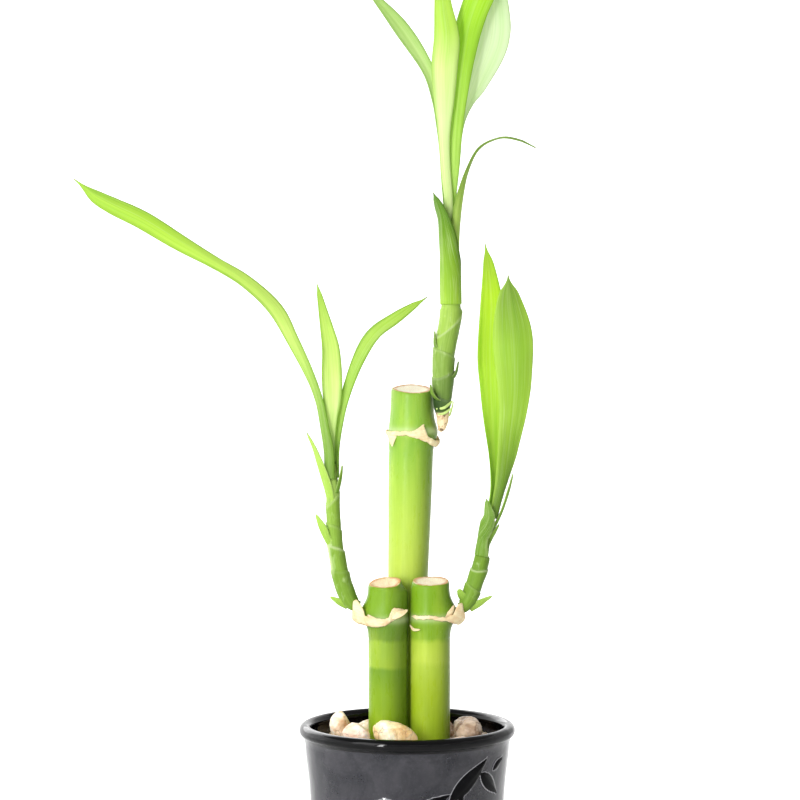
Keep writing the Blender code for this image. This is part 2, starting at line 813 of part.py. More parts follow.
def pot():
    """A turned cup with a rolled rim and a raised bamboo sprig on the front and the back."""
    profile = list(POT_OUTER)
    middle, level = ROLL_CENTRE
    for angle in range(-60, 211, 45):
        turn = math.radians(angle)
        profile.append((middle + ROLL_RADIUS * math.cos(turn), level + ROLL_RADIUS * math.sin(turn)))
    profile.extend(POT_INNER)
    bm = bmesh.new()
    skin(bm, [turned_ring(radius, height, POT_SIDES) for radius, height in profile])
    body = add_object("pot", bm, "black_glaze")
    reliefs = [relief_stalk(turn) for turn in RELIEF_TURNS]
    for turn in RELIEF_TURNS:
        for azimuth, height, length, width, tilt in RELIEF_LEAVES:
            reliefs.append(relief_leaf(azimuth + turn, height, length, width, tilt))
    apply_booleans(body, reliefs, "UNION")
    return body


# ---------------------------------------------------------------- gravel and pebbles


def pebble_mesh(centre, half, turn, tilt, seed, grow=0.0):
    """A rounded stone with a few worn flats; grow swells it evenly."""
    chance = random.Random(seed)
    bm = bmesh.new()
    bmesh.ops.create_icosphere(bm, subdivisions=2, radius=1.0)
    flats = []
    for _ in range(PEBBLE_FACETS):
        normal = Vector((chance.uniform(-1, 1), chance.uniform(-1, 1), chance.uniform(-0.7, 1)))
        flats.append((normal.normalized(), chance.uniform(0.66, 0.85)))
    for vert in bm.verts:
        point = vert.co * (1.0 + chance.uniform(-PEBBLE_JITTER, PEBBLE_JITTER))
        for normal, reach in flats:
            over = point.dot(normal) - reach
            if over > 0.0:
                point = point - normal * over * 0.8
        vert.co = Vector([point[k] * (half[k] + grow) for k in range(3)])
    cos_tilt = math.cos(math.radians(tilt))
    sin_tilt = math.sin(math.radians(tilt))
    cos_turn = math.cos(math.radians(turn))
    sin_turn = math.sin(math.radians(turn))
    for vert in bm.verts:
        x, y, z = vert.co
        x, z = x * cos_tilt + z * sin_tilt, z * cos_tilt - x * sin_tilt
        x, y = x * cos_turn - y * sin_turn, x * sin_turn + y * cos_turn
        vert.co = Vector((x + centre[0], y + centre[1], z + centre[2]))
    return bm


def hole_cutter(cane):
    """A plain round hole round one cane, from its foot to above the gravel."""
    foot = cane_centre(cane, CANE_FOOT - GAP)
    head = cane_centre(cane, GRAVEL_TOP + 8.0)
    radius = value_at(cane["radii"], GRAVEL_TOP) + HOLE_CLEARANCE
    bm = bmesh.new()
    skin(bm, [
        [Vector((foot.x, foot.y, 0.0)) + p for p in turned_ring(radius, foot.z, CANE_SIDES)],
        [Vector((head.x, head.y, 0.0)) + p for p in turned_ring(radius, head.z, CANE_SIDES)],
    ])
    return add_object("hole", bm, "gravel")


def gravel_bed():
    """The bed of small stones that fills the pot, with a plain hole for each cane."""
    chance = random.Random(50)
    rings = []
    for radius, height in reversed(POT_INNER[1:]):
        rings.append(turned_ring(radius - GAP, height + GAP, GRAVEL_SIDES))
    edge = POT_INNER[1][0] - GAP
    rings.append(turned_ring(edge, GRAVEL_TOP - 0.8, GRAVEL_SIDES))
    for share in (0.82, 0.58, 0.3):
        ring = turned_ring(edge * share, GRAVEL_TOP, GRAVEL_SIDES)
        for point in ring:
            point.z += chance.uniform(-GRAVEL_ROUGHNESS, GRAVEL_ROUGHNESS) * min(1.0, 2.0 * share)
        rings.append(ring)
    bm = bmesh.new()
    skin(bm, rings)
    bmesh.ops.triangulate(bm, faces=bm.faces)
    bed = add_object("gravel_bed", bm, "gravel")
    cutters = [hole_cutter(cane) for cane in CANES.values()]
    for _, centre, half, turn, tilt, seed in PEBBLES:
        seat = pebble_mesh(centre, half, turn, tilt, seed, grow=SEAT_CLEARANCE)
        cutters.append(add_object("seat", seat, "gravel"))
    apply_booleans(bed, cutters, "DIFFERENCE")
    return bed


def pebbles():
    for name, centre, half, turn, tilt, seed in PEBBLES:
        finish = "pebble_tan" if "right" in name else "pebble_cream"
        add_object(name, pebble_mesh(centre, half, turn, tilt, seed), finish)


# ---------------------------------------------------------------- canes and scars


def cane_centre(cane, height):
    """The cane's axis at a height."""
    share = (height - CANE_FOOT) / (cane["top"][2] - CANE_FOOT)
    x = cane["foot"][0] + (cane["top"][0] - cane["foot"][0]) * share
    y = cane["foot"][1] + (cane["top"][1] - cane["foot"][1]) * share
    return Vector((x, y, height))


def cane_radius(cane, azimuth, height):
    """Radius of the cane, with the swelling round its node, the bulge of its bud and a worn side."""
    radius = value_at(cane["radii"], height)
    from_node = (height - cane["node"]) / SWELL_LENGTH
    from_bud = (height - cane["bud"]) / SWELL_LENGTH
    around = max(0.0, math.cos(math.radians(azimuth - cane["shoot"]))) ** 3
    even, bulge = cane["swell"]
    side, depth = cane["worn"]
    top = cane["top"][2]
    facing = max(0.0, math.cos(math.radians(azimuth - side)))
    worn = depth * facing * smooth_step(height, top - WORN_LENGTH, top)
    return radius + even * math.exp(-from_node**2) + bulge * around * math.exp(-from_bud**2) - worn


def cane(name):
    """A cut length of stem: plain below, swollen at its node, with an uneven sawn top."""
    this = CANES[name]
    top = this["top"][2]
    chance = random.Random(this["seed"])
    phase = chance.uniform(0, math.tau)
    heights = [CANE_FOOT, GRAVEL_TOP, this["node"] - 16]
    heights += [this["node"] + step for step in (-8, -5, -2.5, 0, 2.5, 5, 8.5)]
    heights.append(top - CUT_BAND)
    rings = []
    for height in heights:
        centre = cane_centre(this, height)
        rings.append([
            centre + polar(360.0 * i / CANE_SIDES, cane_radius(this, 360.0 * i / CANE_SIDES, height), 0.0)
            for i in range(CANE_SIDES)
        ])
    low_side, slant = this["cut"]
    for inset, drop in ((0.0, 0.0), (0.9, -0.15), (3.6, 0.25)):
        ring = []
        for i in range(CANE_SIDES):
            azimuth = 360.0 * i / CANE_SIDES
            turn = math.radians(azimuth)
            wave = CUT_WAVE * (0.6 * math.sin(turn + phase) + 0.4 * math.sin(3 * turn + 2 * phase))
            wave -= slant * math.cos(turn - math.radians(low_side))
            radius = cane_radius(this, azimuth, top) - 0.25 - inset
            fade = radius / cane_radius(this, azimuth, top)
            ring.append(cane_centre(this, top) + polar(azimuth, radius, wave * fade - drop))
        rings.append(ring)
    bm = bmesh.new()
    skin(bm, rings)
    return add_object(name, bm, "cane_green")


def scar(name):
    """The papery remnant of an old leaf base: a frayed open band, flared under the shoot."""
    cane_name, stations = SCARS[name]
    this = CANES[cane_name]
    chance = random.Random(this["seed"] + 70)
    edges = [(azimuth, Vector((low, high, flare))) for azimuth, low, high, flare in stations]
    start = edges[0][0]
    rings = []
    for index in range(SCAR_SIDES + 1):
        azimuth = start + (edges[-1][0] - start) * index / SCAR_SIDES
        low, high, flare = value_at(edges, azimuth)
        low += chance.uniform(-SCAR_FRAY, SCAR_FRAY)
        high += chance.uniform(-SCAR_FRAY, SCAR_FRAY)
        middle = 0.5 * (low + high)
        inner = SCAR_CLEARANCE + max(cane_radius(this, azimuth, height) for height in (low, middle, high))
        outer = inner + SCAR_THICKNESS + flare
        section = (
            (inner, low),
            (inner + 0.6 * (outer - inner), low - 0.15),
            (outer, middle),
            (inner + 0.45 * (outer - inner) + 0.3, high),
            (inner, high - 0.1),
        )
        rings.append([cane_centre(this, height) + polar(azimuth, radius, 0.0) for radius, height in section])
    bm = bmesh.new()
    skin(bm, rings)
    return add_object(name, bm, "papery_scar")


# ---------------------------------------------------------------- stems, bracts and leaves


def ring_across(centre, direction, radius, sides):
    """A circle of points square to a direction, starting towards the front."""
    side = direction.cross(Vector((0.0, 1.0, 0.0))).normalized()
    other = direction.cross(side).normalized()
    return [
        centre + radius * (side * math.cos(math.tau * i / sides) + other * math.sin(math.tau * i / sides))
        for i in range(sides)
    ]


def stem_body(name):
    """A shoot's stem, with a small step where each sheath ends, a shoulder and a slim core."""
    stations = sampled(STEMS[name], STEM_RINGS)
    directions = tangents(stations)
    rings = []
    for index, (station, direction) in enumerate(zip(stations, directions)):
        share = index / STEM_RINGS
        radius = station[3]
        for step in STEM_STEPS[name]:
            rise = (share - step) / STEP_LENGTH + 1.0
            if 0.0 < rise <= 1.0:
                radius += STEP_DEPTH * rise
        rings.append(ring_across(Vector(station[:3]), direction, radius, STEM_SIDES))
    shoulder = Vector(stations[-1][:3])
    direction = directions[-1]
    for rise, radius in CORES[name]:
        rings.append(ring_across(shoulder + direction * rise, direction, radius, STEM_SIDES))
    bm = bmesh.new()
    skin(bm, rings)
    return add_object(name, bm, "shoot_green")


def ribbon(line, faces, turn, hollow, opens, cells, wave=0.0):
    """A blade as a grid of points: each row lies on an arc whose hollow side looks along its face."""
    along, across = cells
    points = sampled(line, along)
    directions = tangents(points)
    face_base = Vector(faces[0]).normalized()
    face_tip = Vector(faces[1]).normalized()
    rows = []
    for index, (point, direction) in enumerate(zip(points, directions)):
        share = index / along
        face = face_base.lerp(face_tip, smooth_step(share, *turn))
        face = (face - direction * face.dot(direction)).normalized()
        side = direction.cross(face)
        bend = 1.0 / hollow[0] + (1.0 / hollow[1] - 1.0 / hollow[0]) * smooth_step(share, *opens)
        half = 0.5 * point[3]
        row = []
        for j in range(across + 1):
            arc = half * (2.0 * j / across - 1.0)
            ripple = wave * (abs(arc) / half) ** 2 * min(1.0, half / 4.0) * smooth_step(share, 0.3, 0.5)
            ripple *= math.sin(share * 19.0 + (0.8 if arc > 0 else 2.4))
            out = (1.0 - math.cos(arc * bend)) / bend + ripple
            row.append(Vector(point[:3]) + side * (math.sin(arc * bend) / bend) + face * out)
        rows.append(row)
    return rows


def blade(name, rows, thickness, material_name):
    """A grid of points as a triangulated sheet, made solid to both sides."""
    bm = bmesh.new()
    grid = [[bm.verts.new(point) for point in row] for row in rows]
    for low, high in zip(grid, grid[1:]):
        for a, b, c, d in zip(low, low[1:], high[1:], high):
            bm.faces.new((a, b, c, d))
    bmesh.ops.triangulate(bm, faces=bm.faces)
    made = add_object(name, bm, material_name, sharp_angle=60.0)
    solid = made.modifiers.new("thickness", "SOLIDIFY")
    solid.thickness = thickness * MM
    solid.offset = 0.0
    solid.use_rim = True
    return made


def stem(name):
    """A leafy stem: the stem with its small bracts fused on."""
    body = stem_body(name)
    bracts = []
    for line, face, curl in BRACTS[name]:
        rows = ribbon(line, (face, face), (0.0, 1.0), (curl, 2.0 * curl), (0.0, 1.0), (5, 2))
        bract = blade("bract", rows, BRACT_THICKNESS, "shoot_green")
        bracts.append(bract)
    apply_booleans(body, bracts, "UNION")
    return body


def leaf(name):
    this = LEAVES[name]
    rows = ribbon(
        this["line"], this["face"], this["turn"], this["hollow"], this["open"], this["cells"], LEAF_WAVE
    )
    return blade(name, rows, LEAF_THICKNESS, this["material"])


def main():
    clear_scene()
    pot()
    gravel_bed()
    pebbles()
    for name in CANES:
        cane(name)
    for name in SCARS:
        scar(name)
    for name in STEMS:
        stem(name)
    for name in LEAVES:
        leaf(name)


main()
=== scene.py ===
"""Fine surfaces and materials of the potted lucky bamboo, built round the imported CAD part.

Frame: the CAD's own, +Z up, +X to the right, +Y away from the front, origin at the middle of the
pot's foot. Lengths in the tables are in millimetres and become metres through MM. Azimuths are in
degrees from +X towards +Y, so the front is at 270. Colours in the tables are sRGB, 0 to 255.
"""

import math
import random

import bmesh
import bpy
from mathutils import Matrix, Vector, noise


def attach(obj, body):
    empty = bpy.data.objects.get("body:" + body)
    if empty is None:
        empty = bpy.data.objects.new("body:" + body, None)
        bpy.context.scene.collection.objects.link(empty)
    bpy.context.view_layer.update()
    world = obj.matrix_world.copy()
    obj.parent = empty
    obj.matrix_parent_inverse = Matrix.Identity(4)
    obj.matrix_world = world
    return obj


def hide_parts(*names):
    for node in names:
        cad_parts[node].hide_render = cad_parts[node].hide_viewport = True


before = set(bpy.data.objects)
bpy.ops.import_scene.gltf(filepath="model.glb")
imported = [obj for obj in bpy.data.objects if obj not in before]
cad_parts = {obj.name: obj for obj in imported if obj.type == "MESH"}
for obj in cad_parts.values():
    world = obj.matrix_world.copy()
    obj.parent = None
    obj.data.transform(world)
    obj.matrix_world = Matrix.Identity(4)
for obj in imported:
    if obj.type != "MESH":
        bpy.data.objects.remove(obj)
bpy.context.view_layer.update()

MM = 0.001
GAP = 0.3  # clearance between pieces that touch

# ---------------------------------------------------------------- form, in most numbers the CAD source's

ROLL_RADIUS = 2.3
ROLL_CENTRE = (37.7, 77.7)  # radius, height
ROLL_START, ROLL_SWEEP, ROLL_STEPS = -62.0, 272.0, 32  # the roll's arc in degrees, from the wall round
# outlines of the pot, each a list of (radius, height)
POT_FOOT = ((27.4, 0.9), (27.8, 0.25), (28.3, 0), (29.3, 0), (29.9, 0.25), (30.4, 0.8))
POT_OUTER = (
    (29.5, 0), (30.6, 1.1), (32.8, 9), (34.6, 27), (35.5, 46), (36.4, 59), (37.6, 69), (37.9, 73.2),
)
POT_INNER = ((35.2, 75.4), (34.6, 70), (32.8, 54), (31.6, 30), (30, 11), (27, 6.6))
POT_BOTTOM = ((24, 5.4), (18, 5), (9, 5), (2, 5))
RELIEF_DEPTH = 0.8  # how far the leaf ornament stands off the wall
# azimuth, height, length, width and tilt in degrees of each ornament leaf
RELIEF_LEAVES = (
    (307, 64, 22, 6.4, 42), (324, 61.5, 15, 5, -38), (331, 68.2, 8, 3, 30), (283, 55.5, 17, 5.6, 28),
    (262, 55, 15, 5, -16), (300, 46, 20, 6, 58), (286, 38, 16, 5.2, 18), (318, 42, 16, 5.2, -48),
)
RELIEF_STALK = ((293.0, 16.0), (299.0, 30.0), (303.0, 46.0), (302.0, 58.0))  # azimuth, height
RELIEF_EDGE = 0.45  # height of a leaf's edge, as a share of its midrib's
RELIEF_STALK_WIDTH = 2.4
RELIEF_SOFT = 0.3  # half the width over which the ornament's outline falls off
RELIEF_REACH = 40.0  # no ornament leaf reaches further round than this, in degrees
RELIEF_LOW, RELIEF_HIGH = 8.0, 73.0  # there is ornament between these heights only
RELIEF_TURNS = (0.0, 180.0)  # the sprig is on the front and again on the back

GRAVEL_TOP = 74.0
GROUND_DEPTH = 1.6  # how far the ground between the small stones lies below the top of the bed
HOLE_CLEARANCE = 0.8
CANE_FOOT = 16.0
# name, centre, half sizes, turn and tilt in degrees, seed
PEBBLES = (
    ("pebble_cone", (-24.4, -3.6, 78.6), (4.7, 4.8, 7), 20, -6, 3),
    ("pebble_front_pink", (-18.6, -15.6, 78), (5.8, 4.8, 5.2), -18, -8, 5),
    ("pebble_front_cream", (-4.4, -15.9, 78.2), (9.4, 4.6, 5.8), -4, 24, 11),
    ("pebble_right_tan", (22.6, 0.6, 77.4), (6.4, 7.6, 5.4), 14, 22, 8),
    ("pebble_right_front", (19.6, -14.6, 74.4), (6, 4.6, 3.6), -35, 5, 13),
    ("pebble_front_low", (9.6, -23.2, 72.9), (6.6, 4.4, 3.2), 8, 0, 17),
    ("pebble_left_front", (-12.4, -27, 72.8), (5.4, 3.8, 3.2), -12, 0, 19),
    ("pebble_left_back", (-23.6, 10.8, 74), (5.4, 6.2, 4), 30, 0, 23),
    ("pebble_back_left", (-14.2, 23, 73.8), (6.4, 4.8, 3.9), 34, 0, 29),
    ("pebble_back", (0.6, 28.2, 73.6), (6.2, 3.8, 3.6), 0, 0, 31),
    ("pebble_back_right", (14.2, 23.4, 74), (5.8, 5, 4), -30, 0, 37),
    ("pebble_middle_left", (-14.6, 10.6, 75), (3.6, 4.2, 3.6), 10, 0, 41),
    ("pebble_middle_right", (13.2, 11.6, 74.6), (3.6, 3.8, 3.6), 0, 0, 43),
)
PEBBLE_JITTER = 0.07
PEBBLE_FACETS = 5

CUT_WAVE = 0.35  # rise and fall of the cut top's edge
CUT_BAND = 2.6  # height of bark below a cut's middle that follows its slant
# radii by height; heights of node and bud; azimuth of the shoot; swelling all round and at the bud;
# the cut's low side and slant; the worn side's azimuth and depth
CANES = {
    "cane_left": {
        "foot": (-7.1, -1), "top": (-7.1, -1, 132.3),
        "radii": ((16, 6.9), (75, 7.15), (108, 7.2), (134, 7.4)),
        "node": 118.5, "bud": 121.6, "shoot": 180, "swell": (0.35, 2.5), "cut": (248, 1.2),
        "worn": (0, 2.2), "seed": 1,
    },
    "cane_right": {
        "foot": (8.6, -1), "top": (8.5, -1, 132.8), "radii": ((16, 7), (75, 7.3), (108, 7.35), (134, 7.1)),
        "node": 119, "bud": 121.4, "shoot": 0, "swell": (0.35, 2.6), "cut": (266, 0.9), "worn": (180, 0.3),
        "seed": 2,
    },
    "cane_tall": {
        "foot": (-2.4, 14.5), "top": (2, 14.5, 203),
        "radii": ((16, 6.9), (75, 7.2), (134, 7.5), (169, 8.2), (186, 8.3), (204, 7.9)),
        "node": 187, "bud": 187, "shoot": 338, "swell": (0.35, 1.3), "cut": (288, 1.3), "worn": (0, 0.3),
        "seed": 3,
    },
}
SWELL_LENGTH = 4.2  # half length of the swelling along the cane
WORN_LENGTH = 3.6  # how far below the top the worn side starts to narrow

# cane, and the paper's (azimuth, lower edge, upper edge, flare) round it
SCARS = {
    "scar_left": (
        "cane_left",
        (
            (32, 120, 121.4, 0.1), (90, 118.4, 120, 0.2), (140, 117.4, 120, 0.8), (163, 117, 120.2, 1.8),
            (180, 117, 120.4, 2.5), (190, 117.2, 121, 2.7), (197, 117.3, 125.8, 2.7),
            (204, 117.2, 126.8, 2.3), (211, 117, 125, 1.8), (217, 116.9, 120.7, 1.2),
            (228, 116.8, 120.3, 0.8), (244, 116.7, 120, 0.5), (263, 117.4, 120, 0.3),
            (272, 118.1, 120.4, 0.3), (280, 118.8, 123.4, 0.4), (286, 119.3, 124.2, 0.5),
            (302, 120.3, 123.6, 0.6), (318, 121.4, 123, 0.3), (330, 122.1, 122.8, 0.1),
        ),
    ),
    "scar_right": (
        "cane_right",
        (
            (-150, 119.7, 121.2, 0.1), (-130, 119.5, 120.9, 0.1), (-91, 119.8, 121.2, 0.1),
            (-65, 119, 120.5, 0.2), (-45, 118.7, 120.4, 0.4), (-34, 118.1, 121.2, 0.8),
            (-27, 117.6, 124.6, 1.2), (-18, 117.2, 125.4, 1.8), (-10, 117, 121.6, 2), (0, 116.8, 120.6, 2),
            (18, 117, 120.2, 1.7), (42, 117.8, 120.4, 0.7), (90, 118.6, 120.2, 0.2),
            (144, 119.4, 120.8, 0.1),
        ),
    ),
    "scar_tall": (
        "cane_tall",
        (
            (112, 186.2, 187.6, 0.1), (150, 186.3, 187.8, 0.2), (180, 186.2, 187.7, 0.4),
            (200, 185.6, 187.7, 0.5), (211, 182.6, 187.7, 0.5), (224, 186.1, 187.7, 0.3),
            (254, 186.3, 187.7, 0.2), (268, 185.9, 187.9, 0.3), (284, 185.2, 188.8, 0.4),
            (297, 184.2, 189.6, 0.5), (306, 183.7, 186, 0.6), (322, 182.2, 184.6, 0.8),
            (338, 181.6, 183.9, 1), (356, 182.2, 184.2, 0.8), (400, 184, 186.6, 0.4),
            (435, 185.4, 187.2, 0.1),
        ),
    ),
}

# x, y, z and radius up each stem
STEMS = {
    "stem_left": (
        (-17.5, -1, 123.6, 1.8), (-19.2, -1, 124.1, 2.4), (-21, -1, 125.8, 3), (-22.6, -1, 129, 3.35),
        (-24, -1, 133, 3.2), (-25.6, -1, 140.4, 3), (-26.6, -1, 147, 2.75), (-27.1, -1, 155, 2.6),
        (-27.4, -1, 163, 2.45), (-27.7, -1, 173, 2.3),
    ),
    "stem_right": (
        (19, -1, 123, 1.8), (20.6, -1, 123.5, 2.4), (22.3, -1, 125.8, 3), (23.8, -1, 129.2, 3.1),
        (25.1, -1, 133, 3.1), (26.5, -1, 137, 3), (27.4, -1, 140.6, 2.9), (27.7, -1, 141.9, 2.8),
        (27.9, -1, 143, 2.1), (28.6, -1, 147, 1.95), (29.7, -1, 152.4, 1.9), (30.9, -1, 156.8, 1.85),
    ),
    "stem_tall": (
        (12.2, 10.2, 187.8, 0.8), (12.8, 9.5, 189.2, 1.5), (13.1, 9.2, 191.4, 2), (13.1, 9.1, 194, 2.4),
        (12.9, 9, 197, 3), (13.2, 8.9, 201.2, 3.5), (13.3, 8.9, 206, 3.95), (13.6, 8.9, 216, 4),
        (15.6, 9, 227, 4.05), (16.15, 9, 232, 4.05), (16.2, 9, 236, 4.05),
    ),
}
# sheath edges along a stem, as shares of its length, where one sheath ends over the next
STEM_STEPS = {
    "stem_left": (0.3, 0.47, 0.62, 0.82), "stem_right": (0.26, 0.46), "stem_tall": (0.24, 0.42, 0.58, 0.76),
}
STEP_DEPTH = 0.35
STEP_LENGTH = 0.14  # share of the stem over which a sheath widens up to its edge
# slim core above a stem's shoulder that the leaves wrap: (height above the shoulder, radius)
CORES = {
    "stem_left": ((0, 1.85), (3, 1.8)), "stem_right": ((0, 1.15), (1.2, 1.1)),
    "stem_tall": ((0, 3.05), (4, 3), (4, 2.1), (7.2, 2), (7.2, 1.15), (9.8, 1.1)),
}
# stations (x, y, z, width), facing of the hollow side, curl radius
BRACTS = {
    "stem_left": (
        (
            (
                (-21.8, -1.6, 123.6, 4.4), (-24.6, -2, 125, 3.4), (-26.6, -2.1, 126.2, 2),
                (-28.4, -2.1, 127.2, 0.8),
            ),
            (0.2, 0.9, 0.45), 2.8,
        ),
        (
            (
                (-27.2, -2.4, 144.6, 2.8), (-29.4, -3, 148.6, 3.2), (-31.2, -2.9, 152.8, 3.4),
                (-33.6, -2.4, 157.8, 0.8),
            ),
            (0.5, 0.85, 0.1), 2.8,
        ),
        (
            (
                (-28.2, -2, 160, 4.2), (-29.2, -2.8, 166, 4.6), (-30.8, -3, 171.8, 4.4),
                (-32.4, -2.9, 177, 3.4), (-34.3, -2.6, 182.5, 2), (-36.9, -2.2, 187.8, 0.8),
            ),
            (0.7, 0.7, 0.1), 3,
        ),
        (
            ((-25.6, -1.9, 165.6, 3.2), (-24.5, -2.2, 170.8, 2.6), (-23.9, -2.3, 175.8, 0.8)),
            (-0.9, 0.4, 0.1), 2.6,
        ),
    ),
    "stem_right": (
        (
            (
                (23, -1.2, 122.6, 4.4), (25.9, -1.4, 124.2, 3.4), (28.7, -1.5, 126, 2.1),
                (31.3, -1.6, 127.4, 0.8),
            ),
            (-0.2, 0.9, 0.45), 2.8,
        ),
        (((22.4, -1.8, 125, 3.4), (20.3, -3, 127.4, 3.6), (18.9, -3.3, 130.2, 1.6)), (0.3, 1, 0.3), 2.6),
        (
            ((29.6, -0.9, 145.8, 3), (31.3, -1.3, 149.4, 3.2), (33.8, -1.7, 154, 0.8)), (-0.8, 0.55, 0.2),
            2.6,
        ),
        (
            (
                (30.6, -1.6, 150.4, 3.4), (33.3, -1.6, 155.2, 2.6), (35.4, -1.5, 160.2, 2.2),
                (37.3, -1.7, 166.2, 2.4), (38.9, -1.7, 172.6, 0.8),
            ),
            (-0.9, 0.4, 0.2), 2.8,
        ),
    ),
    "stem_tall": (
        (((12.8, 8.6, 198.6, 5), (9.6, 5.9, 201, 3.6), (8.6, 5.2, 205.2, 0.8)), (0.9, 0.4, 0.2), 3.6),
        (((14.6, 8.8, 205.6, 5), (17.8, 8.2, 208.4, 4.4), (19, 7.8, 213.6, 0.8)), (-1, 0.2, 0.2), 3.6),
        (((13.2, 8.6, 215.6, 5), (10.4, 7.8, 218.8, 4.4), (10.2, 7.4, 224.8, 0.8)), (1, 0.2, 0.2), 3.6),
    ),
}

LEAF_THICKNESS = 0.65
LEAF_WAVE = 0.30  # how far the edges wave
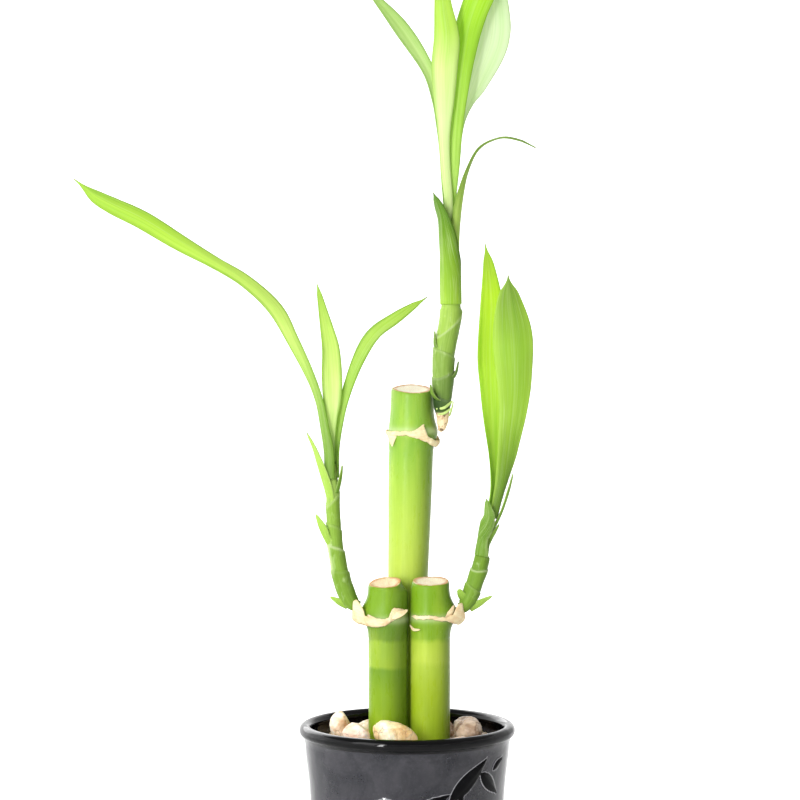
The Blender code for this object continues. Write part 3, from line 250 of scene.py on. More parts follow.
# stations (x, y, z, width); facing of the hollow side at base and tip, and the shares between which it
# turns; curl radius at base and tip, and the shares between which it opens
LEAVES = {
    "leaf_left_long": {
        "line": (
            (-29.6, -2.7, 173.6, 6.2), (-29.8, -2.7, 181, 6.2), (-31.1, -2.6, 190, 5.2),
            (-32.9, -2.5, 200, 4.4), (-36.4, -2.8, 210, 4.2), (-42, -3.8, 222, 4.6),
            (-48.2, -5.4, 233.6, 6.3), (-58.8, -7, 243.6, 6.4), (-70, -8.5, 250.6, 6.2),
            (-83, -10, 258.3, 7.8), (-96, -11.6, 266.2, 9), (-106.3, -12.6, 271.2, 8.6),
            (-113.8, -13.3, 275.2, 6), (-120.6, -14, 280.6, 0.9),
        ),
        "face": ((0.72, 0.69, 0), (-0.25, 0.72, -0.62)), "turn": (0.14, 0.5), "hollow": (2.5, 11),
        "open": (0.1, 0.4), "cells": (150, 16), "slot": "leaf_green",
    },
    "leaf_left_middle": {
        "line": (
            (-27.7, -1, 176.6, 2.6), (-27.7, -1, 186, 2.8), (-27.7, -1, 193, 4.4), (-27.6, -1.1, 200, 6.8),
            (-27.7, -1.4, 208, 7.8), (-28.1, -2, 218, 6.8), (-29.5, -2.4, 226, 5), (-33.1, -3, 242.8, 0.9),
        ),
        "face": ((0, -1, 0), (0.2, -1, 0.1)), "turn": (0.1, 0.9), "hollow": (7, 9), "open": (0, 1),
        "cells": (80, 14), "slot": "leaf_green",
    },
    "leaf_left_right": {
        "line": (
            (-26, 0.7, 173.6, 6.2), (-25.9, 0.7, 181, 6.2), (-24.8, 0.4, 190, 4.8), (-22.8, -0.4, 200, 4.8),
            (-18.6, -1.2, 212.6, 5.8), (-12.2, -2, 223.2, 7.6), (-4.4, -2.6, 229.6, 6.4),
            (7.2, -3.5, 237.6, 0.9),
        ),
        "face": ((-0.72, -0.69, 0), (-0.35, -0.62, 0.62)), "turn": (0.15, 0.6), "hollow": (2.5, 9),
        "open": (0.12, 0.5), "cells": (90, 14), "slot": "leaf_green",
    },
    "leaf_right_sheath": {
        "line": (
            (25.25, -1.2, 143.8, 12.4), (25.75, -1.2, 146.6, 10.6), (26.7, -2.4, 150, 7.6),
            (27.6, -3.2, 151.6, 7.4), (29, -4.2, 153.9, 6.2), (30, -4.9, 157.2, 4.4),
            (29.6, -5.1, 160.4, 2.8), (29, -5.1, 163.8, 0.9),
        ),
        "face": ((0.97, 0.1, -0.2), (0.15, 1, 0)), "turn": (0.12, 0.6), "hollow": (2.7, 4),
        "open": (0.2, 0.9), "cells": (50, 32), "slot": "shoot_green",
    },
    "leaf_right_back": {
        "line": (
            (30.2, 0.5, 158.4, 4.8), (30.9, 0.5, 161.6, 4.8), (31.5, 0.9, 166, 5), (31.7, 1.5, 171, 5.2),
            (31.6, 2.3, 183, 5.8), (30.9, 3, 203, 8.2), (30.5, 3.5, 216, 9.8), (31, 3.6, 234, 8.6),
            (30.2, 3.4, 247, 5), (28.6, 3, 257.4, 0.9),
        ),
        "face": ((0.6, -0.8, 0), (0.1, -1, 0.1)), "turn": (0.1, 0.45), "hollow": (1.9, 12),
        "open": (0.08, 0.4), "cells": (110, 16), "slot": "leaf_green",
    },
    "leaf_right_front": {
        "line": (
            (32.6, -2.55, 157.6, 4.8), (33.5, -2.6, 161.6, 5), (34.6, -2.8, 166, 5.8), (35.7, -3, 171, 6.8),
            (36.6, -3.1, 177.5, 7.6), (37.5, -3.2, 184.5, 8.4), (39, -3.4, 197, 10.8),
            (39.4, -3.9, 208, 13.4), (38.8, -4.2, 223, 15.2), (37.4, -4.1, 236, 9.6),
            (36.9, -3.8, 245.8, 0.9),
        ),
        "face": ((-0.6, 0.8, 0), (-0.1, 1, 0.1)), "turn": (0.1, 0.45), "hollow": (1.9, 16),
        "open": (0.02, 0.3), "cells": (110, 24), "slot": "leaf_green",
    },
    "leaf_tall_sheath": {
        "line": (
            (13.55, 6.35, 236.5, 21.5), (13.4, 6.3, 244, 21), (13.3, 6.1, 252, 15.5), (13, 5.6, 260, 10.8),
            (12.2, 5, 268, 7), (9.6, 4.2, 276, 0.9),
        ),
        "face": ((0.7, 0.7, 0), (0.75, 0.6, 0)), "turn": (0.1, 0.9), "hollow": (3.75, 6), "open": (0.3, 1),
        "cells": (60, 36), "slot": "leaf_green",
    },
    "leaf_tall_arched": {
        "line": (
            (18.72, 8.05, 240.6, 8.2), (18.7, 8, 250, 8.2), (19, 8, 262, 7.8), (20.2, 7.9, 274, 6.4),
            (22.4, 7.8, 284, 5.2), (26.6, 7.2, 292.2, 4.4), (34, 6, 296, 3.6), (41, 5, 295.2, 2.6),
            (47.2, 4, 292.4, 1.4),
        ),
        "face": ((-0.94, 0.34, 0), (0, -0.1, 1)), "turn": (0.35, 0.75), "hollow": (2.8, 6),
        "open": (0.3, 0.7), "cells": (100, 16), "slot": "leaf_pale",
    },
    "leaf_tall_left": {
        "line": (
            (14.4, 9.8, 243.8, 2.4), (14.3, 9.8, 262, 2.4), (14.1, 9.9, 272, 2.8), (13.8, 10, 284, 3.6),
            (13.4, 9.9, 292, 4), (12.6, 9.6, 300, 4.4), (11, 9.4, 310, 4.8), (7.2, 8.8, 321.4, 5.4),
            (-3.2, 7.2, 337.2, 6.6), (-16.5, 5.6, 352.6, 0.9),
        ),
        "face": ((0.9, -0.42, 0), (0.15, -0.85, 0.5)), "turn": (0.12, 0.35), "hollow": (1.85, 8),
        "open": (0.15, 0.85), "cells": (120, 14), "slot": "leaf_pale",
    },
    "leaf_tall_front": {
        "line": (
            (16, 7.15, 246.6, 3.2), (16, 7.1, 262, 3.2), (15.3, 6.8, 274, 3.8), (14.3, 6.6, 284, 3.9),
            (13.7, 6.4, 294, 4.1), (13.6, 6.4, 302, 5.4), (13.6, 6.4, 310, 7.6), (13.7, 6.4, 322, 9.8),
            (14.4, 6.2, 333, 9.6), (13, 5.6, 346, 6.2), (11.2, 4.6, 369, 0.9),
        ),
        "face": ((0, 1, 0), (0.1, 1, 0.1)), "turn": (0.1, 0.9), "hollow": (1.85, 14), "open": (0.15, 0.55),
        "cells": (110, 16), "slot": "leaf_pale",
    },
    "leaf_tall_inner": {
        "line": (
            (16.1, 9, 246.6, 1.7), (16.1, 8.9, 262, 1.7), (16.4, 8.7, 269, 2), (16.9, 8.5, 277, 3),
            (17.3, 8.3, 287, 4.4), (17.8, 8.4, 298, 5.2), (18.8, 8.9, 310, 6.4), (20.6, 10, 326, 8.8),
            (23.8, 11, 341, 10.6), (30, 11.4, 354, 10), (43.6, 12, 370.6, 0.9),
        ),
        "face": ((0, 1, 0), (0.1, 1, -0.3)), "turn": (0.1, 0.9), "hollow": (6, 14), "open": (0.3, 0.6),
        "cells": (120, 18), "slot": "leaf_green",
    },
    "leaf_tall_behind": {
        "line": (
            (17.6, 9.87, 243.8, 2.6), (17.6, 9.9, 262, 2.6), (17.8, 10.9, 273, 2.4), (18.1, 12, 284, 2.2),
            (19.8, 14.2, 300, 2.4), (22.2, 15, 309, 4.6), (25.6, 15.2, 317, 9.2), (31, 15.6, 332, 14.2),
            (31.8, 15.8, 347, 11.4), (30.4, 15.6, 375, 0.9),
        ),
        "face": ((-0.87, -0.5, 0), (-0.1, -1, 0.1)), "turn": (0.2, 0.5), "hollow": (1.85, 16),
        "open": (0.15, 0.5), "cells": (120, 20), "slot": "leaf_pale",
    },
}

# ---------------------------------------------------------------- numbers of the look

POT_COLUMNS = 480
OUTLINE_STEPS = 118
LINING_STEPS = 34
BED_COLUMNS = 72
HOLE_COLUMNS = 40
ROLL_PAINTED_DARK = (74.5, 75.4)  # the heights between which the painted dark reflection on the roll sets in
BARE_FOOT = (1.5, 2.3)  # the heights between which the bare clay of the foot ends
CORE_TONE = 0.6  # of the slim core above each stem
CUT_CHAMFER = 0.25  # how far the bark draws in at the sawn edge
GROWTH_RINGS = ((0.10, 7.0, 0.35), (0.07, 16.6, 0.4))  # depth, distance below the node, width
TIP_TAPER = 0.7  # share of its width that a blade loses at its very tip
LEAF_PLEATS = 5
HOLLOW_DEPTH = 1.1  # of a stone's dent
CANE_COLUMNS = 96
CANE_FINE = 14.0  # rings lie close together this near to the node
CANE_RING_STEPS = (0.5, 1.4)  # between rings near the node and elsewhere
# how far below the CAD's edge each outer leaf base reaches down over its stem
LEAF_ROOTS = {
    "leaf_left_long": 3, "leaf_left_right": 2.4, "leaf_right_sheath": 1.1, "leaf_right_back": 1.5,
    "leaf_right_front": 1.5, "leaf_tall_sheath": 1.8,
}
STEM_COLUMNS = 48
STEM_ROWS = 240
SCAR_COLUMNS = 300
SCAR_END_COLUMNS = 16  # over which each end of the paper narrows to a point
PAPER_CLEARANCE = 0.16  # between the bark and the paper
PAPER_FLARE = 1.2  # how many times its flare the paper's loose top edge stands out
# torn flaps of each scar: stations (x, y, z, width), facing of the hollow side, curl radius
SCAR_FLAPS = {
    "scar_left": (
        (((-5.6, -9.1, 120.2, 1.2), (-3, -9.5, 121.4, 2.6), (0.2, -7.9, 123.1, 0.8)), (0, -1, 0.5), 1.2),
        (((-9.5, -9, 118.6, 1), (-12.4, -8.2, 119.6, 1.8), (-14.6, -7.4, 121.2, 0.6)), (0.4, 1, 0), 2.4),
    ),
    "scar_right": (
        (((1, -3.9, 117, 0.5), (2.3, -6, 115.6, 1.1), (4.7, -8.2, 115.8, 0.5)), (0.5, 1, 0), 4),
        (((13, -7.4, 119.4, 1.2), (15.6, -6.6, 121.4, 2.2), (17.2, -6.2, 124.6, 0.7)), (-0.4, 1, 0), 2.4),
    ),
    "scar_tall": (
        (((1.6, 5.3, 186.9, 1.4), (4.2, 5.4, 187.8, 2.2), (6.3, 6, 190.4, 0.5)), (0, 1, 0.2), 3),
        (((-5.2, 8.5, 186.6, 3.4), (-5.5, 8.4, 184.4, 2.2), (-5.6, 8.4, 182, 0.5)), (0.6, 1, 0), 4),
    ),
}
SMALL_STONES = 330
SMALL_STONE_SIZES = (1.3, 2.7)
SMALL_STONE_TRIES = 12000

# the sawn wood: its colour between the fibres and on them
CUT_WOOD = {
    "cane_left": ((224, 182, 140), (242, 220, 184)), "cane_right": ((236, 202, 164), (250, 238, 214)),
    "cane_tall": ((240, 210, 176), (254, 245, 226)),
}
# where painted shade darkens each cane's bark towards its right side, as the cosine of the azimuth
PAINTED_SHADE_SIDE = {"cane_left": (-0.2, 0.9), "cane_right": (0.25, 1.0), "cane_tall": (0.1, 1.0)}
# colours up each cane: (height, colour); the darker stops just below each scar are a painted shadow of the
# scar
CANE_BANDS = {
    "cane_left": (
        (74, (132, 162, 29)), (92, (123, 155, 27)), (100.6, (104, 140, 29)), (102, (141, 168, 48)),
        (110.5, (128, 158, 46)), (112, (99, 131, 38)), (117, (92, 128, 35)), (120.5, (116, 155, 32)),
        (133, (113, 150, 34)),
    ),
    "cane_right": (
        (74, (144, 170, 39)), (92, (148, 172, 34)), (102, (155, 178, 55)), (104, (167, 187, 66)),
        (110.5, (157, 180, 58)), (112.5, (120, 155, 36)), (117.5, (115, 151, 33)), (121, (117, 155, 30)),
        (133, (111, 150, 30)),
    ),
    "cane_tall": (
        (76, (167, 191, 71)), (134, (177, 198, 79)), (150, (168, 194, 74)), (166, (155, 187, 67)),
        (178, (136, 175, 61)), (185, (119, 163, 54)), (189, (136, 177, 64)), (203, (131, 170, 61)),
    ),
}

# each leaf's look: colours along it, colour of its edges, how strongly it is edged,
# share of light that passes through
LEAF_LOOKS = {
    "leaf_left_long": {
        "along": (
            (0, (140, 178, 80)), (0.14, (154, 190, 90)), (0.26, (184, 212, 110)), (0.36, (212, 232, 134)),
            (0.5, (210, 234, 122)), (0.75, (200, 232, 90)), (1, (194, 228, 96)),
        ),
        "edge": ((132, 178, 56), 0.6), "pass": 0.4,
    },
    "leaf_left_middle": {
        "along": (
            (0, (176, 208, 112)), (0.3, (222, 238, 160)), (0.5, (216, 234, 142)), (0.7, (204, 228, 120)),
            (1, (176, 212, 84)),
        ),
        "edge": ((134, 178, 56), 0.75), "pass": 0.4,
    },
    "leaf_left_right": {
        "along": (
            (0, (142, 180, 76)), (0.2, (174, 206, 98)), (0.5, (172, 206, 92)), (0.8, (178, 210, 88)),
            (1, (154, 192, 60)),
        ),
        "edge": ((116, 162, 44), 0.75), "pass": 0.36,
    },
    "leaf_right_sheath": {
        "along": ((0, (108, 144, 50)), (0.4, (104, 140, 48)), (1, (116, 152, 62))),
        "edge": ((178, 202, 130), 0.35), "pass": 0.08,
    },
    "leaf_right_back": {
        "along": (
            (0, (156, 192, 92)), (0.2, (176, 210, 76)), (0.5, (194, 226, 72)), (0.8, (198, 228, 60)),
            (1, (164, 196, 66)),
        ),
        "edge": ((150, 200, 50), 0.5), "pass": 0.42,
    },
    "leaf_right_front": {
        "along": (
            (0, (112, 146, 56)), (0.15, (126, 164, 56)), (0.4, (160, 198, 66)), (0.7, (162, 200, 70)),
            (1, (124, 160, 56)),
        ),
        "edge": ((188, 222, 92), 0.5), "pass": 0.34,
    },
    "leaf_tall_sheath": {
        "along": ((0, (150, 186, 60)), (0.3, (128, 166, 46)), (0.7, (94, 132, 32)), (1, (80, 120, 34))),
        "edge": ((66, 98, 22), 0.75), "pass": 0.08,
    },
    "leaf_tall_arched": {
        "along": ((0, (160, 196, 88)), (0.35, (176, 206, 96)), (0.6, (144, 178, 66)), (1, (128, 160, 66))),
        "edge": ((106, 140, 48), 0.6), "pass": 0.22,
    },
    "leaf_tall_left": {
        "along": (
            (0, (214, 232, 164)), (0.4, (218, 234, 172)), (0.7, (204, 226, 156)), (1, (184, 214, 126)),
        ),
        "edge": ((136, 176, 84), 0.65), "pass": 0.4,
    },
    "leaf_tall_front": {
        "along": (
            (0, (212, 230, 152)), (0.45, (230, 242, 182)), (0.6, (220, 236, 158)), (0.72, (190, 220, 96)),
            (1, (160, 202, 48)),
        ),
        "edge": ((160, 196, 76), 0.5), "pass": 0.4,
    },
    "leaf_tall_inner": {
        "along": (
            (0, (206, 234, 138)), (0.35, (186, 222, 104)), (0.6, (172, 216, 68)), (0.85, (176, 222, 40)),
            (1, (168, 214, 40)),
        ),
        "edge": ((144, 188, 60), 0.55), "pass": 0.34,
    },
    "leaf_tall_behind": {
        "along": ((0, (214, 226, 184)), (0.5, (222, 232, 204)), (1, (218, 230, 200))),
        "edge": ((186, 208, 158), 0.4), "pass": 0.5,
    },
}


# ---------------------------------------------------------------- shared curves and numbers


def linear(colour):
    """sRGB 0 to 255 as a linear colour with alpha."""
    shares = [part / 255.0 for part in colour]
    return (*[s / 12.92 if s <= 0.04045 else ((s + 0.055) / 1.055) ** 2.4 for s in shares], 1.0)


def smooth_step(value, start, end):
    """0 up to the start, 1 from the end on, with a soft rise between them."""
    share = min(1.0, max(0.0, (value - start) / (end - start)))
    return share * share * (3.0 - 2.0 * share)


def sampled(stations, count):
    """A Catmull-Rom curve through stations of any number of values, evenly spaced in length."""
    points = [Vector(station) for station in stations]
    points = [2 * points[0] - points[1]] + points + [2 * points[-1] - points[-2]]
    fine = []
    steps = 24
    for a, b, c, d in zip(points, points[1:], points[2:], points[3:]):
        for step in range(steps):
            t = step / steps
            fine.append(0.5 * (2 * b + (c - a) * t + (2 * a - 5 * b + 4 * c - d) * t**2
                               + (3 * b - a - 3 * c + d) * t**3))
    fine.append(points[-2])
    lengths = [0.0]
    for before, after in zip(fine, fine[1:]):
        lengths.append(lengths[-1] + (Vector(after[:3]) - Vector(before[:3])).length)
    result = []
    place = 0
    for index in range(count + 1):
        wanted = lengths[-1] * index / count
        while place < len(lengths) - 2 and lengths[place + 1] < wanted:
            place += 1
        share = (wanted - lengths[place]) / (lengths[place + 1] - lengths[place])
        result.append(fine[place].lerp(fine[place + 1], share))
    return result


def tangents(points):
    """Unit directions of a curve at its points."""
    last = len(points) - 1
    result = []
    for index in range(last + 1):
        before, after = points[max(0, index - 1)], points[min(last, index + 1)]
        result.append((Vector(after[:3]) - Vector(before[:3])).normalized())
    return result


def polar(azimuth, radius, height):
    """A point by its azimuth, distance from the vertical axis and height."""
    angle = math.radians(azimuth)
    return Vector((radius * math.cos(angle), radius * math.sin(angle), height))


def circle(radius, height, count):
    """Points evenly round the vertical axis."""
    return [polar(360.0 * i / count, radius, height) for i in range(count)]


def turned(a, b, angle):
    """A pair of coordinates turned by an angle in radians."""
    return a * math.cos(angle) - b * math.sin(angle), a * math.sin(angle) + b * math.cos(angle)


def degrees_from(azimuth, centre):
    """How far an azimuth lies from a centre, between -180 and 180."""
    return (azimuth - centre + 180.0) % 360.0 - 180.0


def value_at(pairs, place):
    """Straight interpolation in a list of (place, value)."""
    if place <= pairs[0][0]:
        return pairs[0][1]
    for (p0, v0), (p1, v1) in zip(pairs, pairs[1:]):
        if place <= p1:
            return v0 + (v1 - v0) * (place - p0) / (p1 - p0)
    return pairs[-1][1]


def bumps(point, size, octaves=3):
    """Smooth noise from about -1 to 1, with features of a size in millimetres."""
    return noise.fractal(point / size, 1.0, 2.0, octaves, noise_basis="PERLIN_ORIGINAL")


# ---------------------------------------------------------------- meshes


def linked(name, data):
    """A new object in the scene."""
    made = bpy.data.objects.new(name, data)
    bpy.context.scene.collection.objects.link(made)
    return made


def object_of(name, bm):
    """A new object with the bmesh's faces; the bmesh is freed."""
    mesh = bpy.data.meshes.new(name)
    bm.to_mesh(mesh)
    bm.free()
    return linked(name, mesh)


def modified(thing):
    """A new mesh of an object after its modifiers."""
    return bpy.data.meshes.new_from_object(thing.evaluated_get(bpy.context.evaluated_depsgraph_get()))


def band(low, high, count):
    """Faces between two closed rings, given the number of each ring's first point."""
    return [(low + i, low + (i + 1) % count, high + (i + 1) % count, high + i) for i in range(count)]


class Shell:
    """Points in millimetres and faces, gathered into one mesh, with values for each point."""

    def __init__(self):
        self.points = []
        self.faces = []
        self.finishes = []
        self.values = {}

    def add(self, points, given):
        """Add points with their values, a list or one number for each key; gives the first's number."""
        first = len(self.points)
        self.points.extend(points)
        for key in sorted({*self.values, *given}):
            column = self.values.setdefault(key, [0.0] * first)
            value = given.get(key, 0.0)
            column.extend(value if isinstance(value, list) else [value] * len(points))
        return first

    def face(self, corners, finish=0):
        self.faces.append(corners)
        self.finishes.append(finish)

    def skin(self, points, faces, given):
        """Add points and the faces between them."""
        first = self.add(points, given)
        for corners in faces:
            self.face(tuple(first + corner for corner in corners))

    def tube(self, rings, values):
        """A skin through rings of equal count, each end filled from its centre."""
        count = len(rings[0])
        last = len(rings) - 1
        first = self.add([point for ring in rings for point in ring], values)
        for low in range(first, first + last * count, count):
            for corners in band(low, low + count, count):
                self.face(corners)
        for row in (0, last):
            centre = sum(rings[row], Vector((0.0, 0.0, 0.0))) / count
            middle = self.add([centre], {key: [given[row * count]] for key, given in values.items()})
            low = first + row * count
            for i in range(count):
                here, after = low + i, low + (i + 1) % count
                self.face((middle, here, after) if row else (middle, after, here))

    def sheet(self, top, bottom, values, finish=0):
        """A closed blade between two grids of points of the same shape."""
        rows = len(top)
        columns = len(top[0])
        a = self.add([point for row in top for point in row], values)
        b = self.add([point for row in bottom for point in row], values)

        def wall(here, step, turn):
            corners = (a + here, a + here + step, b + here + step, b + here)
            self.face(corners[::-1] if turn else corners, finish)

        for i in range(rows - 1):
            for here in range(i * columns, (i + 1) * columns - 1):
                over = here + columns
                self.face((a + here, a + here + 1, a + over + 1, a + over), finish)
                self.face((b + here, b + over, b + over + 1, b + here + 1), finish)
        for i in range(rows - 1):
            wall(i * columns, columns, False)
            wall((i + 1) * columns - 1, columns, True)
        for start, turn in ((0, True), ((rows - 1) * columns, False)):
            for j in range(columns - 1):
                wall(start + j, 1, turn)

    def finish_piece(self, name, node, materials):
        """Make the object, let it ride on the part and stand for its CAD node."""
        mesh = bpy.data.meshes.new(name)
        mesh.from_pydata([point * MM for point in self.points], [], self.faces)
        for finish in materials:
            mesh.materials.append(finish)
        mesh.polygons.foreach_set("material_index", self.finishes)
        for key, column in self.values.items():
            mesh.attributes.new(key, "FLOAT", "POINT").data.foreach_set("value", column)
        mesh.shade_smooth()
        mesh.update()
        fix = bmesh.new()
        fix.from_mesh(mesh)
        bmesh.ops.recalc_face_normals(fix, faces=fix.faces)
        fix.to_mesh(mesh)
        fix.free()
        made = linked(name, mesh)
        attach(made, "root")
        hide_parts(node)


# ---------------------------------------------------------------- materials


class Graph:
    """A material's nodes, added by short calls that give back output sockets."""

    def __init__(self, name):
        self.made = bpy.data.materials.new(name)
        self.made.use_nodes = True
        self.tree = self.made.node_tree
        self.tree.nodes.clear()

    def add(self, kind, inputs=None, **settings):
        node = self.tree.nodes.new("ShaderNode" + kind)
        for key, value in settings.items():
            setattr(node, key, value)
        for key, value in (inputs or {}).items():
            if isinstance(value, bpy.types.NodeSocket):
                self.tree.links.new(value, node.inputs[key])
            else:
                node.inputs[key].default_value = value
        return node

    def place(self):
        """Object coordinates in millimetres."""
        coords = self.add("TexCoord").outputs["Object"]
        return self.add("VectorMath", {0: coords, 3: 1.0 / MM}, operation="SCALE").outputs[0]

    def value(self, name):
        return self.add("Attribute", attribute_name=name).outputs["Fac"]

    def split(self, vector):
        return self.add("SeparateXYZ", {0: vector}).outputs

    def joined(self, x, y, z):
        return self.add("CombineXYZ", {0: x, 1: y, 2: z}).outputs[0]

    def scaled(self, vector, scales):
        return self.add("VectorMath", {0: vector, 1: scales}, operation="MULTIPLY").outputs[0]

    def moved(self, vector, offset):
        return self.add("VectorMath", {0: vector, 1: offset}, operation="ADD").outputs[0]

    def noise(self, vector, scale=1.0, detail=3.0, rough=0.5, distortion=0.0):
        return self.add("TexNoise", {
            "Vector": vector, "Scale": scale, "Detail": detail, "Roughness": rough, "Distortion": distortion,
        }).outputs["Fac"]

    def cells(self, vector, scale, feature="F1"):
        node = self.add("TexVoronoi", {"Vector": vector, "Scale": scale}, feature=feature)
        return node.outputs["Distance"]

    def maths(self, operation, a, b=0.0):
        return self.add("Math", {0: a, 1: b}, operation=operation).outputs[0]

    def times(self, a, b):
        return self.maths("MULTIPLY", a, b)

    def plus(self, a, b):
        return self.maths("ADD", a, b)

    def span(self, value, low, high, to_low=0.0, to_high=1.0):
        """A smooth change of a value from low to high."""
        return self.add("MapRange", {
            "Value": value, "From Min": low, "From Max": high, "To Min": to_low, "To Max": to_high,
        }, interpolation_type="SMOOTHSTEP").outputs[0]

    def mix_value(self, share, a, b):
        return self.add("Mix", {0: share, 2: a, 3: b}, data_type="FLOAT").outputs[0]

    def mix(self, share, a, b, blend="MIX"):
        a = linear(a) if isinstance(a, tuple) else a
        b = linear(b) if isinstance(b, tuple) else b
        return self.add("Mix", {0: share, 6: a, 7: b}, data_type="RGBA", blend_type=blend).outputs[2]

    def over(self, body, colour, value, low, high, most=1.0, blend="MIX"):
        """A colour laid over the body as a value goes from low to high, at most by a share."""
        return self.mix(self.span(value, low, high, 0.0, most), body, colour, blend)

    def ramp(self, share, stops):
        """Colours by share, with stops (share, sRGB colour)."""
        node = self.add("ValToRGB", {0: share})
        elements = node.color_ramp.elements
        while len(elements) > 1:
            elements.remove(elements[-1])
        elements[0].position = stops[0][0]
        elements[0].color = linear(stops[0][1])
        for position, colour in stops[1:]:
            elements.new(position).color = linear(colour)
        return node.outputs[0]

    def bump(self, height, distance, strength=1.0, normal=None):
        """A bump whose height of 1 is a distance in millimetres."""
        inputs = {"Height": height, "Distance": distance * MM, "Strength": strength}
        if normal is not None:
            inputs["Normal"] = normal
        return self.add("Bump", inputs).outputs[0]

    def surface(self, colour, roughness, normal, passing=0.0, pass_colour=None, **values):
        """A Principled surface, with a share of light passing through if asked."""
        inputs = {"Base Color": colour, "Roughness": roughness, "Normal": normal}
        for key, value in values.items():
            inputs[key.replace("_", " ")] = value
        shader = self.add("BsdfPrincipled", inputs).outputs[0]
        if passing:
            through = {"Color": pass_colour or colour, "Normal": normal}
            translucent = self.add("BsdfTranslucent", through).outputs[0]
            shader = self.add("MixShader", {0: passing, 1: shader, 2: translucent}).outputs[0]
        self.add("OutputMaterial", {"Surface": shader})
        return self.made


def glaze_material():
    """Black glaze over a bare foot, with a painted dark reflection on the ornament and on the roll and a
    painted highlight round the ornament's edges.
    """
    g = Graph("glaze")
    place = g.place()
    height = g.split(place)[2]
    raised = g.value("raised")
    broad = g.noise(place, 0.10, 4.0, 0.6, 0.5)
    fine = g.noise(place, 1.1, 4.0, 0.6)
    body = g.mix(g.span(broad, 0.3, 0.7), (22, 23, 30), (50, 49, 54))
    body = g.over(body, (70, 70, 76), fine, 0.5, 0.78, 0.3)
    # painted dark reflection on the ornament's tops, which also get less gloss
    ornament_painted_dark = g.span(raised, 0.22, 0.42)
    # painted highlight: a light grey ring round the ornament's edges
    ornament_painted_highlight = g.times(g.span(raised, 0.04, 0.16), g.span(raised, 0.2, 0.36, 1.0, 0.0))
    body = g.mix(g.times(ornament_painted_highlight, 0.55), body, (176, 176, 180))
    body = g.mix(ornament_painted_dark, body, (4, 4, 6))
    # painted dark reflection: the roll is coloured blacker than the body
    roll = g.span(height, *ROLL_PAINTED_DARK)
    body = g.mix(roll, body, (3, 3, 4))
    bare = g.span(height, *BARE_FOOT, 1.0, 0.0)
    clay = g.mix(fine, (74, 66, 60), (104, 94, 84))
    colour = g.mix(bare, body, clay)
    shine = g.span(g.noise(place, 0.35, 4.0, 0.65), 0.35, 0.75, 0.06, 0.2)
    shine = g.mix_value(roll, shine, 0.04)
    roughness = g.plus(shine, g.times(bare, 0.6))
    gloss = g.mix_value(ornament_painted_dark, g.mix_value(roll, 0.45, 0.2), 0.08)
    wavy = g.bump(g.noise(place, 0.12, 2.0, 0.5), 0.35, 0.6)
    normal = g.bump(g.noise(place, 0.9, 3.0, 0.55), 0.012, 0.6, wavy)
    return g.surface(colour, roughness, normal, IOR=1.5, Specular_IOR_Level=gloss)


def stone_material(name, seed, colours, rust, rust_amount, dark=(120, 84, 58)):
    """Waxy quartz-like stone: clouded colour, rusty stains in the low places, fine cracks."""
    g = Graph(name)
    place = g.moved(g.place(), (seed * 7.3, seed * 3.1, seed * 5.7))
    clouds = g.noise(place, 0.16, 4.0, 0.6, 0.4)
    layered = g.noise(g.scaled(place, (0.5, 0.5, 1.6)), 0.22, 3.0, 0.55, 0.6)
    body = g.ramp(g.span(clouds, 0.3, 0.72), [(k / (len(colours) - 1), c) for k, c in enumerate(colours)])
    body = g.over(body, colours[0], layered, 0.45, 0.7, 0.55, "MULTIPLY")
    stain = g.noise(g.moved(place, (31.0, 17.0, 5.0)), 0.19, 5.0, 0.65, 0.8)
    hollow = g.value("hollow")
    stained = g.times(g.span(stain, 0.62 - rust_amount, 0.78 - rust_amount), 0.85)
    stained = g.maths("MAXIMUM", stained, g.times(hollow, 0.9))
    body = g.mix(stained, body, rust)
    cracks = g.cells(g.moved(place, (3.0, 9.0, 2.0)), 0.28, "DISTANCE_TO_EDGE")
    crack = g.span(cracks, 0.0, 0.05, 1.0, 0.0)
    crack = g.times(crack, g.span(g.noise(place, 0.3), 0.5, 0.62))
    body = g.mix(g.times(crack, 0.6), body, dark)
    grains = g.noise(place, 3.2, 3.0, 0.7)
    body = g.over(body, (255, 250, 238), grains, 0.58, 0.72, 0.35)
    roughness = g.span(g.noise(place, 0.8, 3.0), 0.3, 0.7, 0.30, 0.55)
    normal = g.bump(g.noise(place, 1.3, 5.0, 0.65), 0.16, 0.8)
    normal = g.bump(crack, -0.12, 0.8, normal)
    return g.surface(body, roughness, normal, IOR=1.5, Subsurface_Weight=0.25, Subsurface_Scale=0.0012,
                     Subsurface_Radius=(1.0, 0.6, 0.35))


def gravel_material():
    """Small mixed stones, each with its own tone, over a damp dark ground."""
    g = Graph("gravel")
    place = g.place()
    tone = g.value("tone")
    body = g.ramp(tone, [
        (0.0, (96, 72, 52)),
        (0.2, (150, 118, 86)),
        (0.4, (196, 168, 130)),
        (0.6, (222, 200, 164)),
        (0.8, (182, 150, 118)),
        (1.0, (238, 224, 196)),
    ])
    clouds = g.noise(place, 0.5, 4.0, 0.6, 0.5)
    body = g.over(body, (168, 132, 94), clouds, 0.35, 0.7, 0.6, "MULTIPLY")
    ground = g.value("ground")
    body = g.mix(ground, body, (112, 86, 62))
    specks = g.noise(place, 3.5, 3.0, 0.7)
    body = g.over(body, (244, 232, 210), specks, 0.6, 0.75, 0.4)
    roughness = g.span(g.noise(place, 0.6, 3.0), 0.3, 0.7, 0.22, 0.5)
    normal = g.bump(g.noise(place, 2.0, 4.0, 0.65), 0.12, 0.7)
    return g.surface(body, roughness, normal, IOR=1.45)


